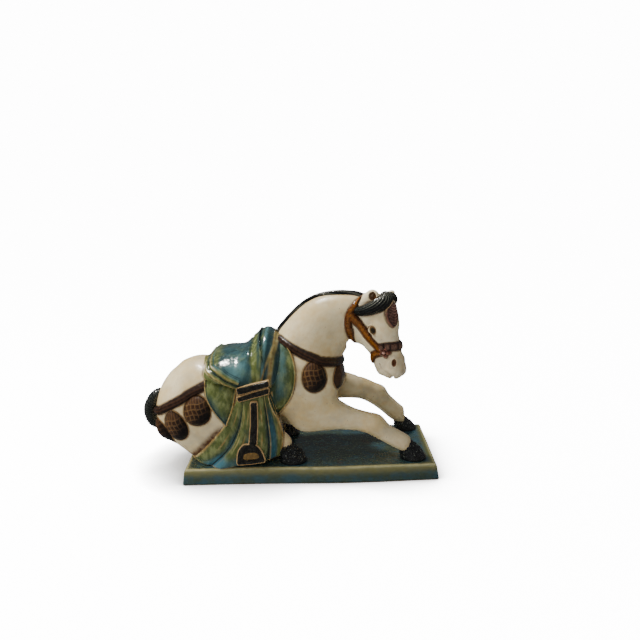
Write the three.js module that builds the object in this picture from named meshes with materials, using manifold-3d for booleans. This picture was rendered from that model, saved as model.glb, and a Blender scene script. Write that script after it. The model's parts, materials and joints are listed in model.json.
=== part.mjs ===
// A glazed pottery horse in the manner of old Chinese tomb figures: it lies on a low slab with its
// hindquarters down, its chest raised and both forelegs stretched out, under a draped saddle.
// Millimetres, +Z up. +X runs along the slab towards the head, and the origin is under the slab's middle.
import * as THREE from 'three';
import { LoftGeometry } from 'three/addons/geometries/LoftGeometry.js';
import { mergeVertices } from 'three/addons/utils/BufferGeometryUtils.js';
import Module from 'manifold-3d';

const wasm = await Module();
wasm.setup();

// Driving sizes
const plinth = { length: 240, width: 100, height: 15, batter: 1.6, edgeRadius: 3, cornerRadius: 2 };
const figureHeight = 163; // from the plinth's top to the tip of the near ear
const seatGap = 0.3; // between the fired figure and its plinth

// The figure is drawn at this height, and each of its points is a share of it
const drawnHeight = 163;
const share = figureHeight / drawnHeight;

const place = (x, y, z) => new THREE.Vector3(x, y, z).multiplyScalar(share);
const radians = THREE.MathUtils.degToRad;
const sunk = 3.5 * share; // how deep the back of a relief lies in what it is laid on
const reach = 62 * share; // how far from a point inside it the figure is looked at
const near = -1; // the horse's right side, towards -Y
const off = 1; // the horse's left side

// Solids

function solid(geometry) {
  const bare = new THREE.BufferGeometry().copy(geometry);
  bare.deleteAttribute('normal');
  bare.deleteAttribute('uv');
  const merged = mergeVertices(bare, 1e-4);
  return new wasm.Manifold(new wasm.Mesh({
    numProp: 3,
    vertProperties: merged.attributes.position.array,
    triVerts: new Uint32Array(merged.index.array),
  }));
}

const joined = (geometries, whole) => geometries.map(solid).reduce((sum, piece) => sum.add(piece), whole);

function geometryOf(manifold) {
  const mesh = manifold.getMesh();
  const geometry = new THREE.BufferGeometry();
  const corners = new Float32Array(mesh.vertProperties);
  geometry.setAttribute('position', new THREE.BufferAttribute(corners, 3));
  geometry.setIndex(new THREE.BufferAttribute(new Uint32Array(mesh.triVerts), 1));
  geometry.computeVertexNormals();
  return geometry;
}

// Pieces that overlap can enclose small voids. They are filled: of the shells that share no corner, the one
// with the most corners is the outside, and only that is kept.
function withoutVoids(geometry) {
  const index = geometry.index.array;
  const leader = Array.from({ length: geometry.attributes.position.count }, (_, i) => i);
  const find = (i) => {
    while (leader[i] !== i) i = leader[i] = leader[leader[i]];
    return i;
  };
  for (let i = 0; i < index.length; i += 3) {
    leader[find(index[i + 1])] = find(index[i]);
    leader[find(index[i + 2])] = find(index[i]);
  }
  const size = new Map();
  index.forEach((i) => size.set(find(i), (size.get(find(i)) ?? 0) + 1));
  const [outside] = [...size].reduce((most, entry) => (entry[1] > most[1] ? entry : most));
  geometry.setIndex([...index].filter((_, i) => find(index[i - (i % 3)]) === outside));
  return geometry;
}

const closedLoft = (sections) => new LoftGeometry(sections, { capStart: true, capEnd: true });

// Limbs: a loft of rounded sections along a curve through stations. A station gives its centre, its half
// width to the side and its half depth above and below the curve.

const power = (value, exponent) => Math.sign(value) * Math.abs(value) ** exponent;

// Rows lie closer together near a limb's two ends
const rowPlace = (f) => (f + (1 - Math.cos(Math.PI * f)) / 2) / 2;

function endRounding(t, [start, end]) {
  const smallest = 0.12;
  const fromEnd = Math.min(t / start, (1 - t) / end, 1);
  return Math.max(smallest, Math.sqrt(1 - (1 - fromEnd) ** 2));
}

const plainLimb = { around: 12, along: 7, square: 2, blunt: [0.15, 0.15], ripple: () => 1 };

function limb(stations, options) {
  const { around, along, square, blunt, ripple } = { ...plainLimb, ...options };
  const path = new THREE.CatmullRomCurve3(stations.map((s) => place(...s.at)));
  const girth = new THREE.CatmullRomCurve3(stations.map((s) => place(s.wide, s.up, s.down)));
  const side = new THREE.Vector3(0, 1, 0);
  const sections = [];
  for (let row = 0; row <= along; row++) {
    const t = rowPlace(row / along);
    const centre = path.getPoint(t);
    const tangent = path.getTangent(t);
    const upward = new THREE.Vector3().crossVectors(tangent, side).normalize();
    const aside = new THREE.Vector3().crossVectors(upward, tangent);
    const half = girth.getPoint(t).multiplyScalar(endRounding(t, blunt) * ripple(t));
    sections.push(Array.from({ length: around }, (_, i) => {
      const angle = (2 * Math.PI * i) / around;
      const height = power(Math.sin(angle), 2 / square);
      return centre.clone()
        .addScaledVector(aside, power(Math.cos(angle), 2 / square) * half.x)
        .addScaledVector(upward, height * (height > 0 ? half.y : half.z));
    }));
  }
  return closedLoft(sections);
}

// The same stations on the other side of the horse
const opposite = (stations) => stations.map((s) => ({ ...s, at: [s.at[0], -s.at[1], s.at[2]] }));

// Body

const trunk = [
  { at: [-153, 0, 44], wide: 22, up: 13, down: 17 },
  { at: [-142, 0, 45], wide: 33, up: 27.5, down: 34 },
  { at: [-118, 0, 48], wide: 42, up: 44.5, down: 47 },
  { at: [-82, 0, 55], wide: 43, up: 46, down: 42 },
  { at: [-45, 0, 65], wide: 38, up: 42, down: 33 },
  { at: [-10, 0, 72], wide: 36, up: 42, down: 35 },
  { at: [18, 0, 76], wide: 31, up: 32, down: 27 },
  { at: [37, 0, 78], wide: 21, up: 20, down: 18 },
];
const neck = [
  { at: [-14, 0, 70], wide: 31, up: 36, down: 36 },
  { at: [4, 0, 106], wide: 29, up: 34.5, down: 32 },
  { at: [18, -1, 126], wide: 23, up: 29, down: 31 },
  { at: [32, -3, 134], wide: 19, up: 24, down: 25 },
  { at: [44, -6, 137], wide: 16, up: 20, down: 21 },
  { at: [58, -9, 137], wide: 14, up: 17, down: 17 },
];

// The head is drawn in profile, facing +X, and turned towards the near side about the poll
const poll = { at: [60, -9, 0], turn: radians(-32) };
const turned = (geometry) => geometry.rotateZ(poll.turn).translate(...place(...poll.at).toArray());

const skull = [
  { at: [4, 0, 157], wide: 11, up: 12, down: 13 },
  { at: [6, 0, 146], wide: 14.5, up: 21, down: 19 },
  { at: [7, 0, 132], wide: 16, up: 23, down: 22 },
  { at: [9, 0, 118], wide: 14.5, up: 22, down: 20 },
  { at: [15, 0, 105], wide: 11.5, up: 18, down: 15.5 },
  { at: [19, 0, 95], wide: 10.5, up: 16, down: 14.5 },
  { at: [22, 0, 86], wide: 11.5, up: 15.5, down: 14 },
  { at: [24.5, 0, 78], wide: 10.5, up: 12.5, down: 11 },
];
const chin = [
  { at: [9, 0, 96], wide: 8, up: 8, down: 6 },
  { at: [13.5, 0, 86], wide: 9, up: 8, down: 6.5 },
  { at: [17, 0, 77], wide: 7.5, up: 6, down: 5 },
];
const jowl = { at: [-2, 124], proud: 14, half: { x: 15, y: 10, z: 17 } };

function cheek(side) {
  const { at, proud, half } = jowl;
  return turned(new THREE.SphereGeometry(1, 8, 6)
    .scale(half.x * share, half.y * share, half.z * share)
    .translate(...place(at[0], side * (proud - half.y + 1), at[1]).toArray()));
}

// The near ear is pricked, and the off ear leans out and forwards
const ears = [
  { base: [-2, -11, 145], tip: [10, -9, 163], half: 8 },
  { base: [3, 12, 145], tip: [11, 21, 157], half: 7 },
];

function ear({ base, tip, half }) {
  const at = (t) => base.map((from, i) => from + (tip[i] - from) * t);
  const stations = [
    { at: at(0), wide: half * 0.8, up: half, down: half },
    { at: at(0.6), wide: half * 0.7, up: half * 0.95, down: half * 0.95 },
    { at: at(1), wide: half * 0.25, up: half * 0.4, down: half * 0.4 },
  ];
  return turned(limb(stations, { around: 6, along: 4, blunt: [0.1, 0.3] }));
}

// Forelegs: the off one is held a little higher than the near one
const nearForeleg = [
  { at: [-24, -20, 62], wide: 17, up: 22, down: 22 },
  { at: [-2, -24, 51], wide: 16, up: 24, down: 26 },
  { at: [20, -27, 44], wide: 13, up: 17, down: 17.5 },
  { at: [36, -29, 39], wide: 11, up: 13, down: 12.5 },
  { at: [50, -30, 36], wide: 10, up: 11, down: 10.5 },
  { at: [61, -32, 32.5], wide: 10.5, up: 11.5, down: 10.5 },
  { at: [73, -33, 24], wide: 9, up: 9.5, down: 9.5 },
  { at: [86, -34, 15], wide: 9.5, up: 10, down: 9 },
  { at: [97, -35, 8], wide: 8.5, up: 8, down: 7.5 },
];
const offForeleg = [
  { at: [-20, 20, 68], wide: 17, up: 22, down: 22 },
  { at: [4, 23, 60], wide: 15, up: 22, down: 22 },
  { at: [24, 25, 56], wide: 13, up: 17, down: 16 },
  { at: [41, 27, 53], wide: 11.5, up: 13.5, down: 13 },
  { at: [57, 28, 48.5], wide: 10.5, up: 11.5, down: 11 },
  { at: [70, 30, 40.5], wide: 10.5, up: 11, down: 10.5 },
  { at: [81, 32, 30], wide: 9, up: 9.5, down: 9.5 },
  { at: [92, 34, 18], wide: 9.5, up: 10, down: 9 },
  { at: [101, 36, 9], wide: 8.5, up: 8, down: 7.5 },
];
const shoulder = [
  { at: [-2, -18, 102], wide: 15, up: 20, down: 18 },
  { at: [0, -21, 80], wide: 17, up: 28, down: 26 },
  { at: [-2, -23, 60], wide: 17, up: 25, down: 30 },
  { at: [-4, -24, 42], wide: 15, up: 18, down: 20 },
];

// Hind legs: folded under the body, with the hoof set down beside the belly
const thigh = [
  { at: [-128, -14, 38], wide: 23, up: 29, down: 30 },
  { at: [-102, -24, 41], wide: 21, up: 30, down: 31 },
  { at: [-74, -29, 42], wide: 17, up: 26, down: 26 },
  { at: [-48, -31, 46], wide: 12, up: 16, down: 16 },
];
const shank = [
  { at: [-120, -18, 12], wide: 13, up: 14, down: 12 },
  { at: [-92, -30, 14], wide: 13, up: 14, down: 14 },
  { at: [-62, -33, 22], wide: 11, up: 12, down: 12 },
  { at: [-40, -32, 28], wide: 9.5, up: 9.5, down: 9.5 },
  { at: [-28, -31, 20], wide: 8.5, up: 8.5, down: 8.5 },
  { at: [-20, -33, 10], wide: 8.5, up: 8, down: 8 },
];

// Hoof: a flared foot, flat on the plinth, leaning back to the pastern
const hoofPlaces = [[100, -35], [104, 37], [-17, -34], [-26, 34]];
const hoofHalf = { long: 13, wide: 10.5 };
const hoofLevels = [
  { z: 0, size: 1, back: 0 },
  { z: 6, size: 0.9, back: 1.5 },
  { z: 14.5, size: 0.58, back: 5.5 },
];

function hoof([x, y]) {
  const around = 10;
  return closedLoft(hoofLevels.map(({ z, size, back }) => Array.from({ length: around }, (_, i) => {
    const angle = (2 * Math.PI * i) / around;
    const forward = Math.cos(angle) * hoofHalf.long * size - back;
    return place(x + forward, y + Math.sin(angle) * hoofHalf.wide * size, z);
  })));
}

// Tail: short, tied up into a ribbed crescent
const tailRibs = 6;
const tail = [
  { at: [-142, 0, 60], wide: 7, up: 6, down: 6 },
  { at: [-152, 0, 57], wide: 9, up: 7.5, down: 7 },
  { at: [-159, 0, 44.5], wide: 10, up: 8, down: 7.5 },
  { at: [-157, 0, 33], wide: 9.5, up: 7.5, down: 7 },
  { at: [-149, 0, 27], wide: 7, up: 6.5, down: 6 },
];
const ribbed = (t) => 1 + 0.08 * Math.cos(2 * Math.PI * tailRibs * t);

const bothSides = (make) => [near, off].map(make);

const body = joined([
  limb(neck, { around: 14, along: 8, blunt: [0.1, 0.12] }),
  limb(nearForeleg, { around: 10, along: 10, blunt: [0.16, 0.06] }),
  limb(offForeleg, { around: 10, along: 10, blunt: [0.16, 0.06] }),
  ...[shoulder, thigh].flatMap((stations) => [limb(stations), limb(opposite(stations))]),
  ...[shank, opposite(shank)].map((stations) => limb(stations, { around: 8, along: 6 })),
  turned(limb(skull, { around: 12, along: 11, square: 2.3, blunt: [0.1, 0.1] })),
  turned(limb(chin, { around: 8, along: 3, blunt: [0.15, 0.25] })),
  ...bothSides(cheek),
], solid(limb(trunk, { around: 16, along: 12, blunt: [0.12, 0.12] })));

// Relief is laid on what lies under it, whose surface is found by looking at it from outside

function surfaceOf(manifold) {
  const skin = new THREE.Mesh(geometryOf(manifold), new THREE.MeshBasicMaterial());
  const caster = new THREE.Raycaster();
  return (aim, seen) => {
    caster.set(aim.clone().addScaledVector(seen, reach), seen.clone().negate());
    const hit = caster.intersectObject(skin)[0];
    return hit ? hit.point : aim.clone();
  };
}

// A sight is a point inside the horse and the direction it is seen from. The azimuth is 0 from the front
// and 90 from the side that is being made, and an elevation of 90 looks straight down.
function sight([x, y, z], azimuth, elevation = 0, side = near) {
  const a = radians(azimuth) * side;
  const e = radians(elevation);
  return {
    aim: place(x, y * side, z),
    seen: new THREE.Vector3(Math.cos(a) * Math.cos(e), Math.sin(a) * Math.cos(e), Math.sin(e)),
  };
}

// A sight drawn on the straight head, turned with it
function headSight(aim, azimuth, elevation, side) {
  const straight = sight(aim, azimuth, elevation, side);
  const up = new THREE.Vector3(0, 0, 1);
  return {
    aim: straight.aim.applyAxisAngle(up, poll.turn).add(place(...poll.at)),
    seen: straight.seen.applyAxisAngle(up, poll.turn),
  };
}

// Sights from the near side, over the middle and down the off side
const acrossHorse = (half, look = sight) => [
  ...half.map(([aim, azimuth, elevation]) => look(aim, azimuth, elevation, near)),
  ...half.slice(0, -1).reverse().map(([aim, azimuth, elevation]) => look(aim, azimuth, elevation, off)),
];

// Band: a raised strip along a row of sights. Its section is drawn from side to side as shares of its half
// width and its thickness, and -1 is its back, sunk in the surface.
const bandSections = {
  strap: [[1, -1], [0.85, 1], [-0.85, 1], [-1, -1]],
  roll: [[1, -1], [0.8, 0.6], [0, 1], [-0.8, 0.6], [-1, -1]],
  twoRolls: [[1, -1], [0.85, 0.5], [0.45, 1], [0.05, 0.4], [-0.35, 0.9], [-0.85, 0.3], [-1, -1]],
  locks: [[1, -1], [0.8, 0.8], [0.4, 0.5], [0, 1], [-0.4, 0.5], [-0.8, 0.8], [-1, -1]],
};

const plainBand = { width: 7.5, thick: 2, steps: 8, section: 'strap', taper: () => 1 };

function band(surface, sights, options) {
  const { width, thick, steps, section, taper } = { ...plainBand, ...options };
  const aims = new THREE.CatmullRomCurve3(sights.map((s) => s.aim));
  const views = new THREE.CatmullRomCurve3(sights.map((s) => s.seen));
  const line = fractions(steps).map((t) => {
    const seen = views.getPoint(t).normalize();
    return { seen, point: surface(aims.getPoint(t), seen) };
  });
  return closedLoft(line.map(({ point, seen }, i) => {
    const before = line[Math.max(0, i - 1)].point;
    const after = line[Math.min(steps, i + 1)].point;
    const tangent = after.clone().sub(before).normalize();
    const aside = new THREE.Vector3().crossVectors(seen, tangent).normalize();
    const outward = new THREE.Vector3().crossVectors(tangent, aside);
    const half = (width / 2) * share * taper(i / steps);
    return bandSections[section].map(([a, rise]) => point.clone()
      .addScaledVector(aside, a * half)
      .addScaledVector(outward, rise < 0 ? -sunk : rise * thick * share));
  }));
}

const bossSeat = 6 * share; // how deep a boss is set in

// Boss: a raised oval with a rim
function boss(surface, { aim, seen }, { wide, tall, tilt = 0, rise = 4.5, rim = 1.8, segments = 8 }) {
  const profile = [[0, -1], [1, -1], [0.95, rim], [0.8, 0.8 * rim], [0.45, 0.9 * rise], [0, rise]];
  const points = profile.map(([r, h]) => new THREE.Vector2(r, h < 0 ? -bossSeat : h * share));
  const upright = new THREE.Vector3(0, 0, 1).addScaledVector(seen, -seen.z).normalize();
  upright.applyAxisAngle(seen, radians(tilt));
  const aside = new THREE.Vector3().crossVectors(seen, upright);
  const axes = new THREE.Matrix4().makeBasis(
    aside.multiplyScalar(wide * share),
    seen,
    upright.multiplyScalar(tall * share),
  );
  return new THREE.LatheGeometry(points, segments).applyMatrix4(axes.setPosition(surface(aim, seen)));
}

// Sheet: rows of points with a front and a back, closed all round
function sheet(rows, side) {
  return closedLoft(rows.map(({ front, back }) => {
    const ring = [...front, ...back.reverse()];
    return side === near ? ring.reverse() : ring;
  }));
}

const fractions = (count) => Array.from({ length: count + 1 }, (_, i) => i / count);

// Skirt: hanging cloth through ribs, each a curve from the waist to the hem. Its folds grow downwards.
function skirt(side) {
  const { count, rise, rows, deep } = skirtCloth;
  const rib = (points) => new THREE.CatmullRomCurve3(points.map(([x, y, z]) => place(x, y * side, z)));
  const ribs = skirtRibs.map(rib);
  const outward = new THREE.Vector3(0, side, 0);
  return sheet(fractions(rows).map((v) => {
    const level = new THREE.CatmullRomCurve3(ribs.map((line) => line.getPoint(v)));
    const points = fractions(2 * count).map((u) => ({ u, at: level.getPoint(u) }));
    const fold = (u) => rise * v * Math.cos(2 * Math.PI * count * u);
    return {
      front: points.map(({ u, at }) => at.clone().addScaledVector(outward, fold(u) * share)),
      back: points.map(({ at }) => at.clone().addScaledVector(outward, -deep * share)),
    };
  }), side);
}

// Flap: a leaf of cloth between two edges that run down from its top, seen from the side
function flap(surface, edges, side) {
  const { columns, rows, thick, puff } = flapCloth;
  const edge = (points) => new THREE.CatmullRomCurve3(points.map(([x, z]) => place(x, 0, z)));
  const [from, to] = [edge(edges.back), edge(edges.front)];
  const outward = new THREE.Vector3(0, side, 0);
  return sheet(fractions(rows).map((v) => {
    const points = fractions(columns).map((u) => (
      { u, at: surface(from.getPoint(v).lerp(to.getPoint(v), u), outward) }));
    const proud = (u) => thick + puff * Math.sin(Math.PI * u) * Math.sin(Math.PI * v);
    return {
      front: points.map(({ u, at }) => at.clone().addScaledVector(outward, proud(u) * share)),
      back: points.map(({ at }) => at.clone().addScaledVector(outward, -sunk)),
    };
  }), side);
}

// Saddle cloth: a seat drawn up over a pommel and a cantle, side flaps, and a skirt that hangs to the ground
const seat = [
  { at: [-102, 0, 85], wide: 28, up: 8, down: 10 },
  { at: [-96, 0, 83.5], wide: 40, up: 15, down: 12 },
  { at: [-90, 0, 81.5], wide: 44.5, up: 23.5, down: 12 },
  { at: [-83, 0, 79.5], wide: 46.5, up: 30, down: 12 },
  { at: [-73, 0, 77.5], wide: 47.5, up: 33.5, down: 12 },
  { at: [-62, 0, 77.5], wide: 47.5, up: 33, down: 12 },
  { at: [-54, 0, 78], wide: 47, up: 36, down: 13 },
  { at: [-46, 0, 79], wide: 46, up: 42.5, down: 14 },
  { at: [-37, 0, 80], wide: 44, up: 44, down: 14 },
  { at: [-28, 0, 82], wide: 40, up: 40, down: 14 },
  { at: [-18, 0, 82], wide: 30, up: 24, down: 12 },
];
const skirtCloth = { count: 5, rise: 1.6, rows: 5, deep: 14 }; // its folds, and how deep its back lies
const skirtRibs = [
  [[-67, 44, 66], [-78, 47, 44], [-96, 43, 22.5], [-116, 27, 2]],
  [[-62, 46, 66], [-68, 48, 43], [-80, 47, 21], [-101, 40, 0]],
  [[-57, 47, 67], [-60, 49, 43], [-68, 50, 21], [-86, 48, -1]],
  [[-50, 48, 69], [-51, 50, 43], [-55, 50, 21], [-64, 47, 1]],
  [[-42, 48, 71], [-40, 49, 44], [-40, 48, 24], [-42, 45, 4]],
  [[-36, 46, 73], [-30, 45, 51], [-25, 42, 30], [-27, 37, 7]],
];
const flapCloth = { columns: 3, rows: 5, thick: 3, puff: 2 };
const rearFlap = {
  back: [[-95, 95], [-97.5, 84], [-96, 70], [-89, 57], [-78.5, 43]],
  front: [[-93, 96], [-82, 88], [-68, 80], [-69, 63], [-76, 43]],
};
const foreFlap = {
  back: [[-29, 119], [-33, 98], [-36, 76], [-32, 64], [-26, 53]],
  front: [[-25, 119], [-15, 106], [-11, 89], [-15, 70], [-23, 53]],
};
const cantleRolls = [
  [[-64, 0, 81.5], 90], [[-73, 0, 85.6], 90], [[-83, 0, 89], 90, 3],
  [[-91, 0, 86], 90, 15], [[-94, 0, 84], 90, 45], [[-95, 0, 84], 90, 90],
];
const pommelRolls = [{ x: -41, lean: 6 }, { x: -33, lean: 2 }].map(({ x, lean }) => [
  [[x - lean, 0, 84], 90], [[x - lean / 2, 0, 96], 90],
  [[x, 0, 100], 90, 20], [[x, 0, 98], 90, 55], [[x, 0, 90], 90, 90],
]);

const clothUnder = joined(bothSides((side) => skirt(side)), body);
const flaps = bothSides((side) => (
  [rearFlap, foreFlap].map((edges) => flap(surfaceOf(clothUnder), edges, side))));
const saddle = limb(seat, { around: 14, along: 10, square: 2.1, blunt: [0.08, 0.05] });
const clothed = joined([...flaps.flat(), saddle], clothUnder);

// Harness on the body: a breast strap and a crupper strap, each with bosses hung under it
const breastStrap = [
  [[-27, 0, 116], 90], [[-7, 0, 106], 90], [[10, 0, 98.6], 90],
  [[14, 0, 94.5], 65], [[16, 0, 91.5], 35], [[16, 0, 90], 0],
];
const crupperStrap = [
  [[-95, 0, 79], 90], [[-116, 0, 69.5], 90], [[-130, 0, 57.5], 108],
  [[-132, 0, 50], 145], [[-132, 0, 46], 180],
];
const sideBosses = [
  { at: [[16, 0, 79], 56], size: { wide: 9, tall: 13, tilt: -12 } },
  { at: [[6, 0, 84], 90], size: { wide: 11.5, tall: 15, tilt: 5 } },
  { at: [[-104, 0, 57], 90], size: { wide: 13, tall: 14.5, tilt: 10 } },
  { at: [[-120, 0, 41.5], 98], size: { wide: 12.3, tall: 15.5, tilt: 18 } },
  { at: [[-100, 0, 32], 145], size: { wide: 10, tall: 13.5, tilt: 20 } },
];

// Bridle, mane and forelock on the head and neck
const bridle = [
  {
    width: 5,
    half: [[[-10.5, 0, 141], 90], [[-2.5, 0, 130.5], 90], [[8, 0, 116.5], 90], [[19, 0, 105], 90]],
  },
  {
    width: 5,
    half: [[[-1, 0, 154], 95, 20], [[-8.5, 0, 145], 90], [[-11, 0, 132], 90], [[-10.5, 0, 120], 90, -10]],
  },
  { width: 6, half: [[[19, 0, 104], 90], [[12, 0, 100.5], 98], [[8, 0, 95], 112, -15]] },
];
const noseband = [[[18, 0, 109], 90], [[19, 0, 110.5], 55], [[19, 0, 111.5], 0]];
const mane = [
  sight([-6, 0, 106], 180, 38), sight([10, 0, 118], 180, 62), sight([22, -1, 128], 180, 70),
  sight([32, 3, 134], 180, 80), sight([46, 6, 137], 180, 88), sight([58, 9, 140], 180, 88),
];
const forelock = [
  [[8, 0, 145], 0, 52], [[8, 0, 144], 50, 22], [[4, 0, 142], 90, 5], [[-6, 0, 140], 95, 0],
];
const leafOnBrow = [[[6, 2, 150], 6], [[6, 2, 141], 6], [[6, 2, 130], 6]];
const eyePlace = [[9, 0, 127], 75];
const rosettePlace = [[21, 0, 104.2], 88];

const onBody = surfaceOf(body);
const onHead = (line, side) => line.map(([aim, azimuth, elevation]) => (
  headSight(aim, azimuth, elevation, side)));
const leafTaper = (t) => Math.max(0.2, Math.sin(Math.PI * t));
const lockTaper = (t) => 1 - 0.45 * t;

const harness = [
  ...[breastStrap, crupperStrap].map((half) => band(onBody, acrossHorse(half), { steps: 12 })),
  ...bothSides((side) => sideBosses.map(({ at: [aim, azimuth], size }) => (
    boss(onBody, sight(aim, azimuth, 0, side), { ...size, tilt: size.tilt * side })))).flat(),
];
const headgear = [
  band(onBody, mane, { width: 7, thick: 3, steps: 7, section: 'roll' }),
  band(onBody, acrossHorse(noseband, headSight), { width: 6.5, steps: 6 }),
  band(onBody, leafOnBrow.map((s) => headSight(...s)), { width: 11, thick: 1.8, steps: 4, taper: leafTaper }),
  ...bothSides((side) => [
    ...bridle.map(({ half, width }) => (
      band(onBody, onHead(half, side), { width, thick: 1.6, steps: 4 }))),
    band(onBody, onHead(forelock, side), {
      width: 14, thick: 5, steps: 5, section: 'locks', taper: lockTaper,
    }),
    boss(onBody, headSight(...eyePlace, 0, side), { wide: 4, tall: 3, rise: 1.6, rim: 1, segments: 6 }),
    boss(onBody, headSight(...rosettePlace, 0, side), { wide: 4, tall: 4, rise: 3, rim: 2, segments: 6 }),
  ]).flat(),
];

// Girth: two belt bars at the waist, and a stirrup leather that ends in a bell-shaped stirrup
const beltBars = [
  [[-67, 0, 75.5], [-52, 0, 78.5], [-37, 0, 81.5]],
  [[-65.5, 0, 68], [-51, 0, 71], [-36.5, 0, 74]],
];
const stirrupLeather = [[-50, 0, 66], [-52, 0, 44], [-54, 0, 22]];
const stirrupShape = { at: [-54, 48, 6], half: 13.5, tall: 19, thick: 9, tilt: radians(4) };
const stirrupSlot = { size: 0.55, raise: 0.2 * stirrupShape.tall, deep: 1.6 };

function bell(size) {
  const [half, tall] = [stirrupShape.half, stirrupShape.tall].map((length) => length * size * share);
  const outline = new THREE.Shape();
  outline.moveTo(-half, 0);
  outline.quadraticCurveTo(-0.8 * half, 0.75 * tall, -0.2 * half, tall);
  outline.lineTo(0.2 * half, tall);
  outline.quadraticCurveTo(0.8 * half, 0.75 * tall, half, 0);
  outline.closePath();
  return outline;
}

// A plate of the bell's outline, made smaller by size, lifted by raise and moved outwards by front
function bellPlate(side, { size = 1, raise = 0, front = 0 } = {}) {
  const { at: [x, y, z], thick, tilt } = stirrupShape;
  const plate = { depth: thick * share, bevelEnabled: false, curveSegments: 5 };
  return new THREE.ExtrudeGeometry(bell(size), plate)
    .rotateX(Math.PI / 2)
    .rotateY(tilt)
    .translate(...place(x, side * (y + front) + thick / 2, z + raise).toArray());
}

function stirrup(side) {
  const { size, raise, deep } = stirrupSlot;
  const front = stirrupShape.thick - deep;
  return solid(bellPlate(side)).subtract(solid(bellPlate(side, { size, raise, front })));
}

const onCloth = surfaceOf(clothed);
const rolls = [
  band(onCloth, acrossHorse(cantleRolls), { section: 'twoRolls', width: 12.5, thick: 2.6, steps: 10 }),
  ...pommelRolls.map((half) => (
    band(onCloth, acrossHorse(half), { section: 'roll', width: 6, thick: 2.4, steps: 10 }))),
];
const girth = bothSides((side) => {
  const fromSide = (line) => line.map((aim) => sight(aim, 90, 0, side));
  return [
    ...beltBars.map((line) => band(onCloth, fromSide(line), { width: 6.4, thick: 4, steps: 3 })),
    band(onCloth, fromSide(stirrupLeather), { width: 6.5, thick: 3, steps: 4 }),
  ];
}).flat();

const figure = joined([
  ...rolls,
  ...harness,
  ...headgear,
  ...girth,
  ...ears.map(ear),
  ...hoofPlaces.map(hoof),
  limb(tail, { around: 8, along: 2 * tailRibs, blunt: [0.1, 0.15], ripple: ribbed }),
], clothed);

// Nostrils are pressed in, and what would reach below the figure's seat is cut away
const nostril = { at: [30, 9.5, 94], half: [3.4, 2.6, 2.4] };

function nostrilPress(side) {
  const [x, y, z] = nostril.at;
  return turned(new THREE.SphereGeometry(1, 8, 6)
    .scale(...place(...nostril.half).toArray())
    .translate(...place(x, side * y, z).toArray()));
}

const underneath = new THREE.BoxGeometry(3 * plinth.length, 3 * plinth.width, figureHeight)
  .translate(0, 0, -figureHeight / 2);
const stirrups = bothSides(stirrup).reduce((sum, piece) => sum.add(piece));
const pressed = [...bothSides(nostrilPress), underneath].map(solid)
  .reduce((rest, press) => rest.subtract(press), figure.add(stirrups));

// Plinth: a slab with battered sides and a rounded top edge
function slabRing(inset, z) {
  const { length, width, cornerRadius } = plinth;
  const perCorner = 4;
  const ring = [];
  for (let quarter = 0; quarter < 4; quarter++) {
    const signX = quarter === 0 || quarter === 3 ? 1 : -1;
    const signY = quarter < 2 ? 1 : -1;
    for (let i = 0; i <= perCorner; i++) {
      const angle = (Math.PI / 2) * (quarter + i / perCorner);
      ring.push(new THREE.Vector3(
        signX * (length / 2 - inset - cornerRadius) + cornerRadius * Math.cos(angle),
        signY * (width / 2 - inset - cornerRadius) + cornerRadius * Math.sin(angle),
        z,
      ));
    }
  }
  return ring;
}

function slab() {
  const { height, batter, edgeRadius } = plinth;
  const edgeSteps = 3;
  const rounded = fractions(edgeSteps).map((t) => {
    const angle = (Math.PI / 2) * t;
    return slabRing(batter + edgeRadius * (1 - Math.cos(angle)), height - edgeRadius * (1 - Math.sin(angle)));
  });
  return closedLoft([slabRing(0, 0), ...rounded]);
}

function piece(name, geometry, color, roughness) {
  const glaze = new THREE.MeshStandardMaterial({ color, roughness, metalness: 0 });
  const mesh = new THREE.Mesh(geometry, glaze);
  mesh.name = name;
  return mesh;
}

const horse = piece('horse', withoutVoids(geometryOf(pressed)), '#d9cfb8', 0.25);
horse.position.z = plinth.height + seatGap;

const object = new THREE.Group();
object.add(horse, piece('plinth', geometryOf(solid(slab())), '#3f5f4a', 0.3));

export default object;
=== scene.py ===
# The looks of a glazed pottery horse that lies on a low plinth, with a draped saddle and a full harness.
# Forms are drawn in millimetres from the plinth's top, +X towards the head, and set in the frame as metres.
import json
import math
import bpy
import numpy as np
import openvdb
from mathutils import Matrix, Vector
from mathutils.bvhtree import BVHTree

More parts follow.
